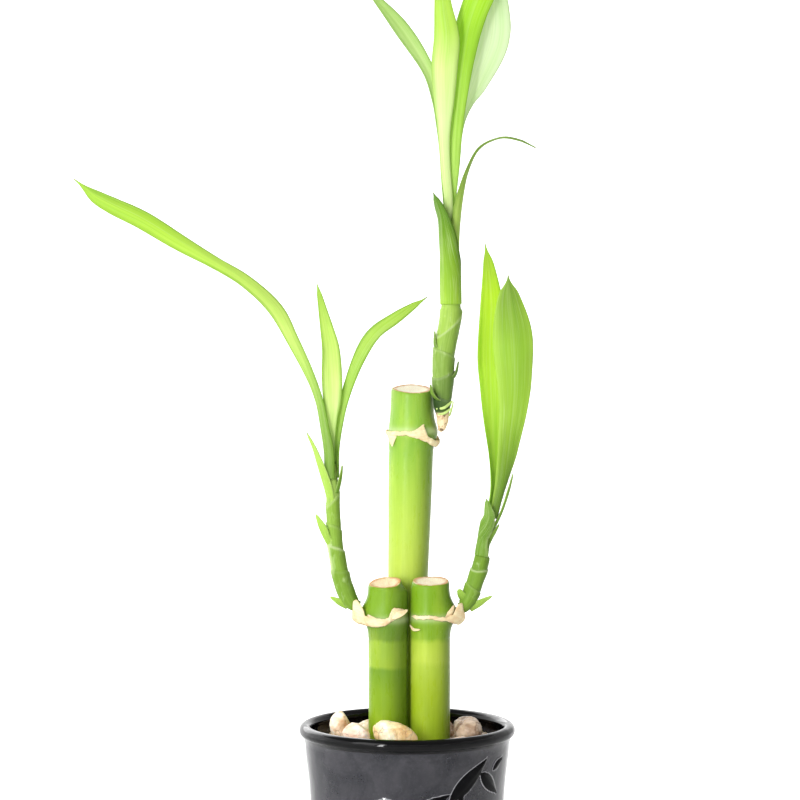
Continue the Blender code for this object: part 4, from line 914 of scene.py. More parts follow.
def cane_material(name):
    """Waxy green bark in soft bands, with painted shade on its right side and a painted shadow in the band
    just below the scar, fine lengthwise fibres, round a pale fibrous cut.
    """
    g = Graph("bark_" + name)
    place = g.place()
    height = g.split(place)[2]
    bands = CANE_BANDS[name]
    low = bands[0][0]
    high = bands[-1][0]
    drift = g.noise(g.scaled(place, (0.25, 0.25, 0.1)), 1.0, 2.0)
    level = g.plus(height, g.times(g.maths("SUBTRACT", drift, 0.5), 2.2))
    share = g.add("MapRange", {"Value": level, "From Min": low, "From Max": high}).outputs[0]
    # the bands include a painted shadow just below the scar
    bark = g.ramp(share, [((at - low) / (high - low), colour) for at, colour in bands])
    streaks = g.noise(g.scaled(place, (1.6, 1.6, 0.05)), 1.0, 4.0, 0.6)
    bark = g.over(bark, (150, 190, 60), streaks, 0.35, 0.65, 0.10, "MULTIPLY")
    soft = g.noise(g.scaled(place, (0.16, 0.16, 0.05)), 1.0, 3.0, 0.5)
    bark = g.over(bark, (204, 222, 84), soft, 0.45, 0.75, 0.16)
    specks = g.noise(g.scaled(place, (2.2, 2.2, 1.1)), 1.0, 2.0, 0.6)
    bark = g.over(bark, (214, 230, 130), specks, 0.68, 0.78, 0.22)
    # painted shade: the bark darkens towards the cane's right side, away from the light
    bark = g.mix(g.times(g.value("side"), 0.62), bark, (84, 108, 34))
    wax = g.value("wax")
    bark = g.mix(wax, bark, (226, 232, 196))
    inset = g.value("inset")
    cut = g.span(inset, 0.12, 0.35)
    pith = g.cells(g.scaled(place, (1.0, 1.0, 0.3)), 1.9)
    wood = g.mix(g.span(pith, 0.1, 0.45), *CUT_WOOD[name])
    rings = g.noise(g.joined(inset, 0.0, 0.0), 1.3, 3.0, 0.6)
    wood = g.over(wood, (240, 210, 172), rings, 0.45, 0.7, 0.3)
    tan = g.times(g.span(inset, 0.5, 2.4, 1.0, 0.0), g.span(g.noise(place, 0.35, 3.0), 0.28, 0.46))
    wood = g.mix(g.times(tan, 0.9), wood, (202, 142, 82))
    colour = g.mix(cut, bark, wood)
    gloss = g.span(g.noise(g.scaled(place, (0.8, 0.8, 0.2)), 1.0, 3.0), 0.3, 0.7, 0.26, 0.38)
    roughness = g.plus(gloss, g.times(cut, 0.4))
    fibres = g.bump(g.noise(g.scaled(place, (3.4, 3.4, 0.10)), 1.0, 3.0, 0.6), 0.035, 0.5)
    normal = g.bump(g.times(pith, cut), 0.18, 0.7, fibres)
    return g.surface(colour, roughness, normal, IOR=1.45, Specular_IOR_Level=0.2, Subsurface_Weight=0.12,
                     Subsurface_Scale=0.0010, Subsurface_Radius=(0.6, 1.0, 0.2))


def paper_material():
    """Dry papery leaf base: pale cream with pinkish tan clouds, fine fibres and browned edges."""
    g = Graph("paper")
    place = g.place()
    edge = g.value("edge")
    fibres = g.noise(g.scaled(place, (0.5, 0.5, 2.4)), 1.0, 4.0, 0.6, 0.2)
    patches = g.noise(place, 0.22, 3.0, 0.55)
    body = g.mix(g.span(fibres, 0.35, 0.65), (240, 220, 172), (252, 242, 204))
    body = g.over(body, (228, 190, 142), patches, 0.45, 0.7, 0.7)
    torn = g.times(g.span(edge, 0.7, 1.0), g.span(g.noise(place, 0.5, 3.0), 0.45, 0.65))
    body = g.mix(g.times(torn, 0.75), body, (168, 116, 66))
    normal = g.bump(fibres, 0.08, 0.6)
    return g.surface(body, 0.75, normal, passing=0.25, pass_colour=linear((255, 238, 204)), IOR=1.4)


def sheath_material(name, dark, middle, pale, rim):
    """A shoot's overlapping sheaths: ribbed green with a waxy whitish bloom, pale dry rims that also carry a
    painted highlight band, and painted shade.
    """
    g = Graph(name)
    place = g.place()
    rib = g.value("rib")
    tone = g.value("tone")
    ridge = g.value("rim")
    body = g.ramp(tone, [(0.0, dark), (0.5, middle), (1.0, pale)])
    lines = g.noise(g.joined(rib, g.times(g.split(place)[2], 0.06), 0.0), 1.0, 3.0, 0.6)
    body = g.over(body, (140, 180, 70), lines, 0.35, 0.65, 0.24, "MULTIPLY")
    bloom = g.noise(g.scaled(place, (0.45, 0.45, 0.16)), 1.0, 4.0, 0.6, 0.5)
    body = g.over(body, (204, 224, 160), bloom, 0.55, 0.8, 0.35)
    # the rim value also holds the painted highlight band of the left stem
    body = g.mix(g.times(ridge, 0.8), body, rim)
    body = g.mix(g.times(g.value("shade"), 0.8), body, (28, 50, 24))
    crumple = g.noise(g.scaled(place, (1.0, 1.0, 0.5)), 0.9, 4.0, 0.65, 0.6)
    paper = g.mix(g.span(crumple, 0.3, 0.5), (156, 118, 78), (240, 214, 174))
    holes = g.span(g.noise(place, 0.55, 2.0), 0.62, 0.68)
    paper = g.mix(g.times(holes, 0.8), paper, (84, 58, 36))
    tan = g.value("tan")
    body = g.mix(tan, body, paper)
    roughness = g.plus(g.span(g.noise(place, 0.8, 3.0), 0.3, 0.7, 0.28, 0.42), g.times(tan, 0.35))
    normal = g.bump(lines, 0.06, 0.6)
    return g.surface(body, roughness, normal, passing=0.06, IOR=1.45, Specular_IOR_Level=0.1)


def leaf_material(name, seed):
    """A strap leaf with parallel veins, a pale midrib and slightly darker edges."""
    look = LEAF_LOOKS[name]
    g = Graph("blade_" + name)
    across = g.value("across")
    along = g.value("along")
    centre = g.maths("ABSOLUTE", across)
    body = g.ramp(g.plus(along, g.times(centre, -0.03)), look["along"])
    broad = g.noise(g.joined(g.times(across, 2.4), g.times(along, 2.6), seed), 1.0, 3.0, 0.55)
    body = g.over(body, (190, 228, 120), broad, 0.42, 0.7, 0.24, "MULTIPLY")
    veins = g.noise(g.joined(g.times(across, 9.0), g.times(along, 1.6), seed + 4.0),
                    1.0, 3.0, 0.6)
    body = g.over(body, (170, 216, 100), veins, 0.38, 0.62, 0.16, "MULTIPLY")
    fine = g.noise(g.joined(g.times(across, 34.0), g.times(along, 3.0), seed + 9.0),
                   1.0, 2.0, 0.6)
    body = g.over(body, (244, 252, 200), fine, 0.5, 0.68, 0.16)
    rib = g.span(centre, 0.02, 0.12, 0.09, 0.0)
    body = g.mix(g.times(rib, g.span(along, 0.1, 0.5, 0.2, 1.0)), body, (238, 248, 190))
    edge_colour, edge_share = look["edge"]
    body = g.over(body, edge_colour, centre, 0.6, 0.98, edge_share)
    dry = g.times(g.span(along, 0.985, 1.0), 0.5)
    body = g.mix(dry, body, (150, 140, 70))
    roughness = g.span(veins, 0.3, 0.7, 0.32, 0.46)
    height = g.plus(veins, g.times(fine, 0.5))
    normal = g.bump(height, 0.05, 0.5)
    return g.surface(body, roughness, normal, passing=look["pass"], IOR=1.42, Specular_IOR_Level=0.14)


# ---------------------------------------------------------------- pot


def wall_radius(height):
    return value_at([(z, r) for r, z in POT_OUTER], height)


def relief_ridge(off_middle, half, groove=0.0):
    """Height of the ornament at a distance from its midrib, falling to nothing past its edge."""
    rise = RELIEF_DEPTH * (RELIEF_EDGE + (1.0 - RELIEF_EDGE) * max(0.0, 1.0 - off_middle / half))
    return (rise - groove) * smooth_step(-off_middle, -half - RELIEF_SOFT, -half + RELIEF_SOFT)


def relief_leaf_rise(azimuth, height, spot, turn):
    """How far one ornament leaf stands off the wall at a place."""
    centre, level, length, width, tilt = spot
    away = degrees_from(azimuth, centre + turn)
    if abs(away) > RELIEF_REACH:
        return 0.0
    v, u = turned(height - level, math.radians(away) * wall_radius(level), math.radians(tilt))
    share = u / length + 0.5
    if not -0.03 < share < 1.03:
        return 0.0
    inside = min(1.0, max(0.0, share))
    half = 0.5 * width * max(0.06, math.sin(math.pi * inside**0.8))
    groove = 0.10 * math.exp(-((abs(v) - 0.45 * half) / 0.22) ** 2)
    ends = smooth_step(share, -0.03, 0.02) * smooth_step(-share, -1.03, -0.98)
    return relief_ridge(abs(v), half, groove) * ends


def relief_stalk_rise(azimuth, height, turn):
    """The same for the stalk that carries the ornament leaves."""
    away = degrees_from(azimuth, value_at([(z, a) for a, z in RELIEF_STALK], height) + turn)
    across = abs(math.radians(away)) * wall_radius(height)
    low = RELIEF_STALK[0][1]
    high = RELIEF_STALK[-1][1]
    ends = smooth_step(height, low - 0.4, low + 0.4) * smooth_step(-height, -high - 0.4, -high + 0.4)
    return relief_ridge(across, 0.5 * RELIEF_STALK_WIDTH) * ends


def relief_rise(azimuth, height):
    """The highest ornament at a place on the wall."""
    rise = 0.0
    for turn in RELIEF_TURNS:
        rise = max(rise, relief_stalk_rise(azimuth, height, turn))
        for spot in RELIEF_LEAVES:
            rise = max(rise, relief_leaf_rise(azimuth, height, spot, turn))
    return rise


def pot():
    """A turned, glazed cup with a rolled rim; the ornament swells out of the wall."""
    profile = [(*spot, False) for spot in POT_FOOT]
    outline = sampled([(r, z, 0.0) for r, z in POT_OUTER[1:]], OUTLINE_STEPS)
    profile += [(point.x, point.y, RELIEF_LOW < point.y < RELIEF_HIGH) for point in outline]
    for step in range(ROLL_STEPS + 1):
        x, y = turned(ROLL_RADIUS, 0.0, math.radians(ROLL_START + ROLL_SWEEP * step / ROLL_STEPS))
        profile.append((ROLL_CENTRE[0] + x, ROLL_CENTRE[1] + y, False))
    lining = sampled([(r, z, 0.0) for r, z in POT_INNER], LINING_STEPS)[1:]
    profile += [(point.x, point.y, False) for point in lining]
    profile += [(*spot, False) for spot in POT_BOTTOM]
    rings = []
    raised = []
    for radius, height, decorated in profile:
        ring = []
        for i in range(POT_COLUMNS):
            azimuth = 360.0 * i / POT_COLUMNS
            rise = relief_rise(azimuth, height) if decorated else 0.0
            ring.append(polar(azimuth, radius + rise, height))
            raised.append(rise / RELIEF_DEPTH)
        rings.append(ring)
    shell = Shell()
    shell.tube(rings, {"raised": raised})
    shell.finish_piece("glazed_pot", "pot", [glaze_material()])


# ---------------------------------------------------------------- stones


def stone_points(centre, half, turn, tilt, seed):
    """The CAD's stone as a coarse bmesh in millimetres."""
    chance = random.Random(seed)
    bm = bmesh.new()
    bmesh.ops.create_icosphere(bm, subdivisions=2, radius=1.0)
    flats = []
    for _ in range(PEBBLE_FACETS):
        normal = Vector((chance.uniform(-1, 1), chance.uniform(-1, 1), chance.uniform(-0.7, 1))).normalized()
        flats.append((normal, chance.uniform(0.66, 0.85)))
    for vert in bm.verts:
        point = vert.co * (1.0 + chance.uniform(-PEBBLE_JITTER, PEBBLE_JITTER))
        for normal, reach in flats:
            over = point.dot(normal) - reach
            if over > 0.0:
                point = point - normal * over * 0.8
        vert.co = Vector([point[k] * half[k] for k in range(3)])
    for vert in bm.verts:
        x, y, z = vert.co
        x, z = turned(x, z, -math.radians(tilt))
        x, y = turned(x, y, math.radians(turn))
        vert.co = Vector((x + centre[0], y + centre[1], z + centre[2]))
    return bm


def smoothed(bm, levels):
    """The bmesh after a subdivision surface, as points, normals and faces."""
    cage = object_of("coarse", bm)
    rounding = cage.modifiers.new("rounding", "SUBSURF")
    rounding.levels = levels
    rounding.render_levels = levels
    result = modified(cage)
    points = [vert.co.copy() for vert in result.vertices]
    normals = [vert.normal.copy() for vert in result.vertices]
    faces = [tuple(face.vertices) for face in result.polygons]
    mesh = cage.data
    bpy.data.objects.remove(cage, do_unlink=True)
    bpy.data.meshes.remove(mesh)
    bpy.data.meshes.remove(result)
    return points, normals, faces


# colours from shade to light, stain colour, amount of stain
STONE_LOOKS = {
    "pebble_cone": (((222, 190, 150), (246, 226, 196), (255, 248, 230)), (178, 122, 62), 0.04),
    "pebble_front_pink": (((236, 200, 172), (250, 228, 206), (255, 244, 230)), (212, 160, 116), 0.02),
    "pebble_front_cream": (((236, 206, 150), (250, 232, 184), (255, 248, 224)), (186, 134, 80), 0.06),
    "pebble_right_tan": (((172, 142, 116), (206, 182, 156), (228, 208, 186)), (112, 80, 56), 0.13),
}
CREAM_STONE = (((216, 184, 144), (238, 216, 184), (250, 238, 214)), (186, 134, 82), 0.03)
TAN_STONE = (((142, 108, 82), (184, 152, 124), (214, 188, 160)), (112, 80, 56), 0.06)
# a dent in a stone's front: its middle (x, z) and its reach
STONE_HOLLOWS = {"pebble_cone": ((-22.6, 80.5), 1.9)}


def pebble(index, name, centre, half, turn, tilt, seed):
    """One rounded stone with a weathered, slightly chipped surface."""
    points, normals, faces = smoothed(stone_points(centre, half, turn, tilt, seed), 3)
    shift = Vector((seed * 11.0, seed * 5.0, seed * 3.0))
    spot = STONE_HOLLOWS.get(name)
    placed = []
    hollow = []
    for point, normal in zip(points, normals):
        rough = 0.30 * bumps(point + shift, 3.6, 4) + 0.10 * bumps(point + shift, 0.9, 3)
        chips = -0.35 * max(0.0, bumps(point - shift, 2.4, 2) - 0.25)
        sunk = 0.0
        if spot:
            (x, z), reach = spot
            sunk = math.exp(-((point.x - x) ** 2 + (point.z - z) ** 2) / reach**2)
            sunk *= smooth_step(-normal.y, 0.0, 0.4)
        placed.append(point + normal * (rough + chips - HOLLOW_DEPTH * sunk))
        hollow.append(sunk)
    shell = Shell()
    shell.skin(placed, faces, {"hollow": hollow})
    kind, default = ("tan", TAN_STONE) if "right" in name else ("cream", CREAM_STONE)
    finish = stone_material("stone_" + name, index + 1.0, *STONE_LOOKS.get(name, default))
    shell.finish_piece(name + "_stone", name, [finish])


def free_place(x, y, size, laid):
    """Whether a small stone fits on the gravel, clear of canes, pebbles and the stones already laid."""
    for cane in CANES.values():
        axis = cane_centre(cane, GRAVEL_TOP)
        reach = size * 1.05 + 0.3
        if math.hypot(x - axis.x, y - axis.y) < value_at(cane["radii"], GRAVEL_TOP) + reach:
            return False
    for _, centre, half, _, _, _ in PEBBLES:
        shares = [(spot - c) / (h * 0.9 + size) for spot, c, h in zip((x, y), centre, half)]
        if math.hypot(*shares) < 1.0:
            return False
    return all(math.hypot(x - ox, y - oy) >= 0.78 * (size + other) for ox, oy, other in laid)


def stacked(name, rings):
    """An object that fills a stack of rings, with flat ends."""
    bm = bmesh.new()
    loops = [[bm.verts.new(point) for point in ring] for ring in rings]
    for low, high in zip(loops, loops[1:]):
        for i in range(len(low)):
            j = (i + 1) % len(low)
            bm.faces.new((low[i], low[j], high[j], high[i]))
    bm.faces.new(loops[0][::-1])
    bm.faces.new(loops[-1])
    return object_of(name, bm)


def gravel():
    """The bed: a body that fills the pot, its top made of small rounded stones, holes for the canes."""
    edge = POT_INNER[1][0] - GAP
    ground_top = GRAVEL_TOP - GROUND_DEPTH
    lining = [(radius - GAP, min(height + GAP, ground_top)) for radius, height in POT_INNER[:0:-1]]
    body = stacked("body", [circle(*spot, BED_COLUMNS) for spot in (*lining, (edge, ground_top))])
    made = [body]
    for cane in CANES.values():
        radius = value_at(cane["radii"], GRAVEL_TOP) + HOLE_CLEARANCE
        rings = []
        for height in (CANE_FOOT - GAP, GRAVEL_TOP + 8.0):
            x, y, z = cane_centre(cane, height)
            rings.append([Vector((x, y, 0.0)) + spot for spot in circle(radius, z, HOLE_COLUMNS)])
        cut = body.modifiers.new("cut", "BOOLEAN")
        cut.object = stacked("hole", rings)
        cut.operation = "DIFFERENCE"
        cut.solver = "EXACT"
        made.append(cut.object)
    result = modified(body)
    shell = Shell()
    faces = [tuple(face.vertices) for face in result.polygons]
    shell.skin([vert.co.copy() for vert in result.vertices], faces, {"ground": 1.0, "tone": 0.0})
    for gone in made:
        bpy.data.objects.remove(gone, do_unlink=True)
    bpy.data.meshes.remove(result)

    chance = random.Random(50)
    laid = []
    tries = 0
    while len(laid) < SMALL_STONES and tries < SMALL_STONE_TRIES:
        tries += 1
        size = chance.uniform(*SMALL_STONE_SIZES)
        away = (edge - size - 0.2) * math.sqrt(chance.random())
        azimuth = math.radians(chance.uniform(0.0, 360.0))
        x, y = away * math.cos(azimuth), away * math.sin(azimuth)
        if free_place(x, y, size, laid):
            laid.append((x, y, size))
            small_stone(shell, chance, Vector((x, y, ground_top + size * chance.uniform(0.15, 0.4))), size)
    shell.finish_piece("gravel_bed_stones", "gravel_bed", [gravel_material()])


def small_stone(shell, chance, centre, size):
    """A small worn stone, a squashed ball with a little unevenness."""
    bm = bmesh.new()
    bmesh.ops.create_icosphere(bm, subdivisions=3, radius=1.0)
    shape = Vector((chance.uniform(0.8, 1.15), chance.uniform(0.75, 1.0), chance.uniform(0.55, 0.8))) * size
    turn = chance.uniform(0.0, math.tau)
    shift = Vector([chance.uniform(0, 90) for _ in range(3)])
    placed = []
    for vert in bm.verts:
        swell = 1.0 + 0.16 * bumps(vert.co + shift, 0.9, 2) - 0.10 * max(0.0, bumps(vert.co - shift, 1.3, 1))
        point = Vector([vert.co[k] * shape[k] * min(swell, 1.08) for k in range(3)])
        placed.append(centre + Vector((*turned(point.x, point.y, turn), point.z)))
    faces = [[vert.index for vert in face.verts] for face in bm.faces]
    shell.skin(placed, faces, {"ground": 0.0, "tone": chance.random()})
    bm.free()


# ---------------------------------------------------------------- canes and scars


def cane_centre(cane, height):
    """The middle of a cane at a height."""
    share = (height - CANE_FOOT) / (cane["top"][2] - CANE_FOOT)
    x, y = [foot + (top - foot) * share for foot, top in zip(cane["foot"], cane["top"])]
    return Vector((x, y, height))


def cane_radius(cane, azimuth, height):
    """The bark's distance from the middle: swollen at the node and the bud, worn on one side of the top."""
    from_node = (height - cane["node"]) / SWELL_LENGTH
    from_bud = (height - cane["bud"]) / SWELL_LENGTH
    around = max(0.0, math.cos(math.radians(azimuth - cane["shoot"]))) ** 3
    even, bulge = cane["swell"]
    side, depth = cane["worn"]
    facing = max(0.0, math.cos(math.radians(azimuth - side)))
    worn = depth * facing * smooth_step(height, cane["top"][2] - WORN_LENGTH, cane["top"][2])
    radius = value_at(cane["radii"], height)
    return radius + even * math.exp(-from_node**2) + bulge * around * math.exp(-from_bud**2) - worn


# the sawn top from the edge inwards: (distance from the edge, drop)
CUT_PROFILE = (
    (0, 0), (0.12, -0.1), (0.3, -0.16), (0.55, -0.17), (0.9, -0.15), (1.4, -0.06), (2, 0.05), (2.7, 0.16),
    (3.6, 0.25), (4.4, 0.28), (5.3, 0.27), (6.2, 0.22), (6.8, 0.2),
)


def cane(name):
    """A cane with faint growth rings, an old leaf line at its node and a fibrous slanting sawn top."""
    this = CANES[name]
    node = this["node"]
    top = this["top"][2]
    phase = random.Random(this["seed"]).uniform(0, math.tau)
    low_side, slant = this["cut"]
    shift = Vector((this["seed"] * 40.0, 0.0, 0.0))
    azimuths = [360.0 * i / CANE_COLUMNS for i in range(CANE_COLUMNS)]
    rings = []
    values = {"inset": [], "wax": [], "side": []}

    def cut_level(azimuth):
        turn = math.radians(azimuth)
        wave = CUT_WAVE * (0.6 * math.sin(turn + phase) + 0.4 * math.sin(3 * turn + 2 * phase))
        return wave - slant * math.cos(turn - math.radians(low_side))

    def note(inset, wax, side):
        for key, value in (("inset", inset), ("wax", wax), ("side", side)):
            values[key].append(value)

    def bark_ring(height, share):
        """A ring of bark; the share says how far it follows the slant of the cut."""
        ring = []
        groove = 0.0
        for depth, below, width in GROWTH_RINGS:
            groove -= depth * math.exp(-((height - node + below) / width) ** 2)
        for azimuth in azimuths:
            level = height + share * (top + cut_level(azimuth) - height)
            middle = cane_centre(this, level)
            radius = cane_radius(this, azimuth, level) - CUT_CHAMFER * smooth_step(share, 0.7, 1.0)
            spot = middle + polar(azimuth, radius, 0.0)
            uneven = 0.07 * bumps(Vector((spot.x, spot.y, level * 0.25)) + shift, 4.0, 2)
            ring.append(middle + polar(azimuth, radius + uneven + groove, 0.0))
            wax = 0.30 * math.exp(-((level - node - 0.8) / 1.3) ** 2)
            # the third value is painted shade on the cane's right side
            note(0.0, wax, smooth_step(math.cos(math.radians(azimuth)), *PAINTED_SHADE_SIDE[name]))
        rings.append(ring)

    height = CANE_FOOT
    while height < top - CUT_BAND:
        bark_ring(height, 0.0)
        height += CANE_RING_STEPS[abs(height - node) >= CANE_FINE]
    for share in (0.0, 0.2, 0.4, 0.6, 0.75, 0.88, 0.97):
        bark_ring(top - CUT_BAND, share)
    middle = cane_centre(this, top)
    for inset, drop in CUT_PROFILE:
        ring = []
        for azimuth in azimuths:
            full = cane_radius(this, azimuth, top)
            radius = max(0.05, full - CUT_CHAMFER - inset)
            spot = middle + polar(azimuth, radius, 0.0)
            torn = 0.10 * bumps(spot + shift, 0.8, 3) * smooth_step(inset, 0.0, 0.5)
            torn += 0.14 * bumps(spot - shift, 2.4, 2) * smooth_step(inset, 0.0, 0.3)
            ring.append(middle + polar(azimuth, radius, cut_level(azimuth) * radius / full - drop + torn))
            note(inset + 0.01, 0.0, 0.0)
        rings.append(ring)
    shell = Shell()
    shell.tube(rings, values)
    shell.finish_piece(name + "_bark", name, [cane_material(name)])


def scar(name, paper):
    """The papery band: a thin frayed strip held off the cane where it flares, with a few torn flaps."""
    cane_name, stations = SCARS[name]
    this = CANES[cane_name]
    shift = Vector((this["seed"] * 23.0, 7.0, 3.0))
    edges = [(azimuth, Vector(rest)) for azimuth, *rest in stations]
    start = edges[0][0]
    sweep = edges[-1][0] - start
    rings = []
    values = {"edge": []}
    for index in range(SCAR_COLUMNS + 1):
        azimuth = start + sweep * index / SCAR_COLUMNS
        low, high, flare = value_at(edges, azimuth)
        along = Vector((azimuth * 0.12, 0.0, 0.0)) + shift
        low += 0.26 * bumps(along, 1.4, 3) + 0.07 * bumps(along, 0.25, 2)
        high += 0.30 * bumps(along + Vector((0, 9, 0)), 1.2, 3) + 0.09 * bumps(along, 0.22, 2)
        ends = min(1.0, index / SCAR_END_COLUMNS, (SCAR_COLUMNS - index) / SCAR_END_COLUMNS)
        middle = 0.5 * (low + high)
        low, high = [middle + (level - middle) * (0.1 + 0.9 * ends) for level in (low, high)]
        tall = high - low
        inner = PAPER_CLEARANCE + max(cane_radius(this, azimuth, height) for height in (low, middle, high))
        wrinkle = 0.12 * bumps(along + Vector((0, 4, 0)), 0.7, 3) * ends
        out = PAPER_FLARE * flare * ends
        section = (
            (inner, low + 0.22 * tall, 0.7),
            (inner + 0.05, low + 0.05, 1.0),
            (inner + 0.22 + 0.15 * out, low - 0.04, 1.0),
            (inner + 0.34 + 0.50 * out, low + 0.16 * tall, 0.35),
            (inner + 0.40 + 0.84 * out + wrinkle, low + 0.42 * tall, 0.0),
            (inner + 0.38 + 0.98 * out + wrinkle, low + 0.72 * tall, 0.1),
            (inner + 0.30 + out, high - 0.1, 0.6),
            (inner + 0.20 + out, high, 1.0),
            (inner + 0.06 + 0.96 * out, high - 0.12, 1.0),
            (inner + 0.04 + 0.88 * out + wrinkle, low + 0.70 * tall, 0.9),
            (inner + 0.02 + 0.66 * out + wrinkle, low + 0.44 * tall, 0.8),
            (inner + 0.26 * out, low + 0.30 * tall, 0.7),
        )
        rings.append([])
        for radius, height, share in section:
            rings[-1].append(cane_centre(this, height) + polar(azimuth, radius, 0.0))
            values["edge"].append(share)
    shell = Shell()
    shell.tube(rings, values)
    edge = {"edge": lambda share, place: smooth_step(max(abs(place), share), 0.6, 1.0)}
    for strip in SCAR_FLAPS[name]:
        strip_into(shell, strip, (20, 8), 0.3, 2, edge)
    shell.finish_piece(name + "_paper", name, [paper])


# ---------------------------------------------------------------- stems, bracts and leaves


def blade_into(shell, line, shape, thickness, wave, pleats, extra, finish=0):
    """Add a blade, each row on an arc: thick in the middle, thin at the edges, pleated along its veins."""
    along, across = shape["cells"]
    points = sampled(line, along)
    face_base, face_tip = [Vector(face).normalized() for face in shape["face"]]
    bend_base, bend_tip = [1.0 / radius for radius in shape["hollow"]]
    top = []
    bottom = []
    values = {key: [] for key in ("across", "along", *extra)}
    for index, (point, direction) in enumerate(zip(points, tangents(points))):
        share = index / along
        face = face_base.lerp(face_tip, smooth_step(share, *shape["turn"]))
        face = (face - direction * face.dot(direction)).normalized()
        side = direction.cross(face)
        bend = bend_base + (bend_tip - bend_base) * smooth_step(share, *shape["open"])
        half = 0.5 * point[3] * (1.0 - TIP_TAPER * smooth_step(share, 0.93, 1.0))
        body = min(1.0, half / 1.6)
        opened = smooth_step(share, 0.15, 0.4) * body
        top.append([])
        bottom.append([])
        for j in range(across + 1):
            place = 2.0 * j / across - 1.0
            arc = half * place
            ripple = wave * (abs(arc) / half) ** 2 * min(1.0, half / 4.0) * smooth_step(share, 0.3, 0.5)
            ripple *= math.sin(share * 19.0 + (0.8 if arc > 0 else 2.4))
            out = (1.0 - math.cos(arc * bend)) / bend + ripple
            spot = Vector(point[:3]) + side * (math.sin(arc * bend) / bend) + face * out
            outward = (face * math.cos(arc * bend) - side * math.sin(arc * bend)).normalized()
            thick = thickness * (0.34 + 0.66 * (1.0 - place * place) ** 0.5) * (0.7 + 0.3 * body)
            pleat = 0.04 * math.cos(place * math.pi * pleats) * opened * min(1.0, 3.0 * (1.0 - abs(place)))
            keel = 0.12 * math.exp(-((place * half) / 0.55) ** 2) * opened * min(1.0, half / 3.0)
            top[-1].append(spot + outward * (0.5 * thick + pleat - 0.7 * keel))
            bottom[-1].append(spot - outward * (0.5 * thick - pleat + 0.8 * keel))
            values["across"].append(place)
            values["along"].append(share)
            for key, given in extra.items():
                values[key].append(given(share, place))
    shell.sheet(top, bottom, values, finish)


def strip_into(shell, strip, cells, thickness, pleats, extra, finish=0, opening=2.0):
    """Add a small curled blade: its stations, the facing of its hollow side and its curl radius."""
    line, face, curl = strip
    shape = {
        "face": (face, face), "turn": (0.0, 1.0), "hollow": (curl, opening * curl), "open": (0.0, 1.0),
        "cells": cells,
    }
    blade_into(shell, line, shape, thickness, 0.0, pleats, extra, finish)


def with_root(line, length):
    """The stations with one more before the first, so that the base wraps what it grows from."""
    first = Vector(line[0][:3])
    ahead = (Vector(line[1][:3]) - first).normalized()
    return ((*(first - ahead * length), line[0][3]), *line)


def leaf(index, name):
    """One leaf, with parallel veins pressed into both faces."""
    this = LEAVES[name]
    line = with_root(this["line"], LEAF_ROOTS[name]) if name in LEAF_ROOTS else this["line"]
    shell = Shell()
    blade_into(shell, line, this, LEAF_THICKNESS, LEAF_WAVE, LEAF_PLEATS, {})
    shell.finish_piece(name + "_blade", name, [leaf_material(name, index * 3.7)])


def ring_across(centre, direction, radii):
    """Points round a centre, square to a direction, from the left through the front."""
    side = direction.cross(Vector((0.0, 1.0, 0.0))).normalized()
    other = direction.cross(side).normalized()
    turns = [math.tau * i / len(radii) for i in range(len(radii))]
    return [centre + r * (side * math.cos(turn) + other * math.sin(turn)) for r, turn in zip(radii, turns)]


# how far each rim slants round the stem, as a share of its length, and how pale it is
SHEATH_RIMS = {
    "stem_left": ((0.02, 0.05), (-0.035, 0.4), (0.03, 0.08), (0.05, 0.2)),
    "stem_right": ((0.03, 0.08), (0.02, 0.4)),
    "stem_tall": ((0.02, 0.08), (0.03, 0.12), (0.03, 0.1), (0.11, 0.35)),
}
# tone of each sheath from the foot up, from 0 dark to 1 pale
SHEATH_TONES = {
    "stem_left": (0.3, 0.36, 0.46, 0.5, 0.66), "stem_right": (0.3, 0.26, 0.18),
    "stem_tall": (0, 0.15, 0.3, 0.4, 0.6),
}
STEM_NARROWING = {"stem_left": 0.13, "stem_right": 0.22, "stem_tall": 0.12}  # at the top, under the leaves
BUD_TOP = 194.5  # the tan papery bud at the foot of the tall stem
BUD_SHADE_END = (199.0, 204.0)  # the shade above the bud fades between these heights
LEFT_PAINTED_HIGHLIGHT = (134.0, 139.0, 145.5, 148.5)  # heights where the painted highlight on the left stem's left side comes in and goes out
BRACT_TONES = {
    "stem_left": (0.35, 0.35, 0.45, 0), "stem_right": (0.45, 0.2, 0, 0), "stem_tall": (0.1, 0, 0.2),
}
# torn yellow-green rims round the foot of the tall stem: stations (x, y, z, width), facing, curl
TORN_RIMS = (
    (((10.8, 7, 196, 0.7), (13.8, 5.7, 196.6, 1.1), (16.8, 7.2, 199, 0.8)), (0, 1, 0.3), 6),
    (((11.4, 6.9, 194, 0.5), (13.8, 5.9, 194.5, 1), (16.2, 6.8, 196.2, 0.7)), (0, 1, 0.3), 6),
    (((15.7, 7, 193.4, 1.3), (16.5, 6.8, 196, 1.2), (17.1, 6.9, 198.8, 0.5)), (-1, 0.6, 0), 3),
)
# dark, middle and pale tone of each sheath material, and the colour of its rims
SHEATH_COLOURS = {
    "sheath_side": ((92, 126, 36), (136, 170, 66), (188, 214, 124), (226, 234, 190)),
    "sheath_tall": ((86, 112, 58), (156, 188, 84), (166, 194, 86), (226, 234, 190)),
    "bract": ((112, 150, 52), (164, 200, 84), (196, 220, 122), (206, 224, 150)),
}


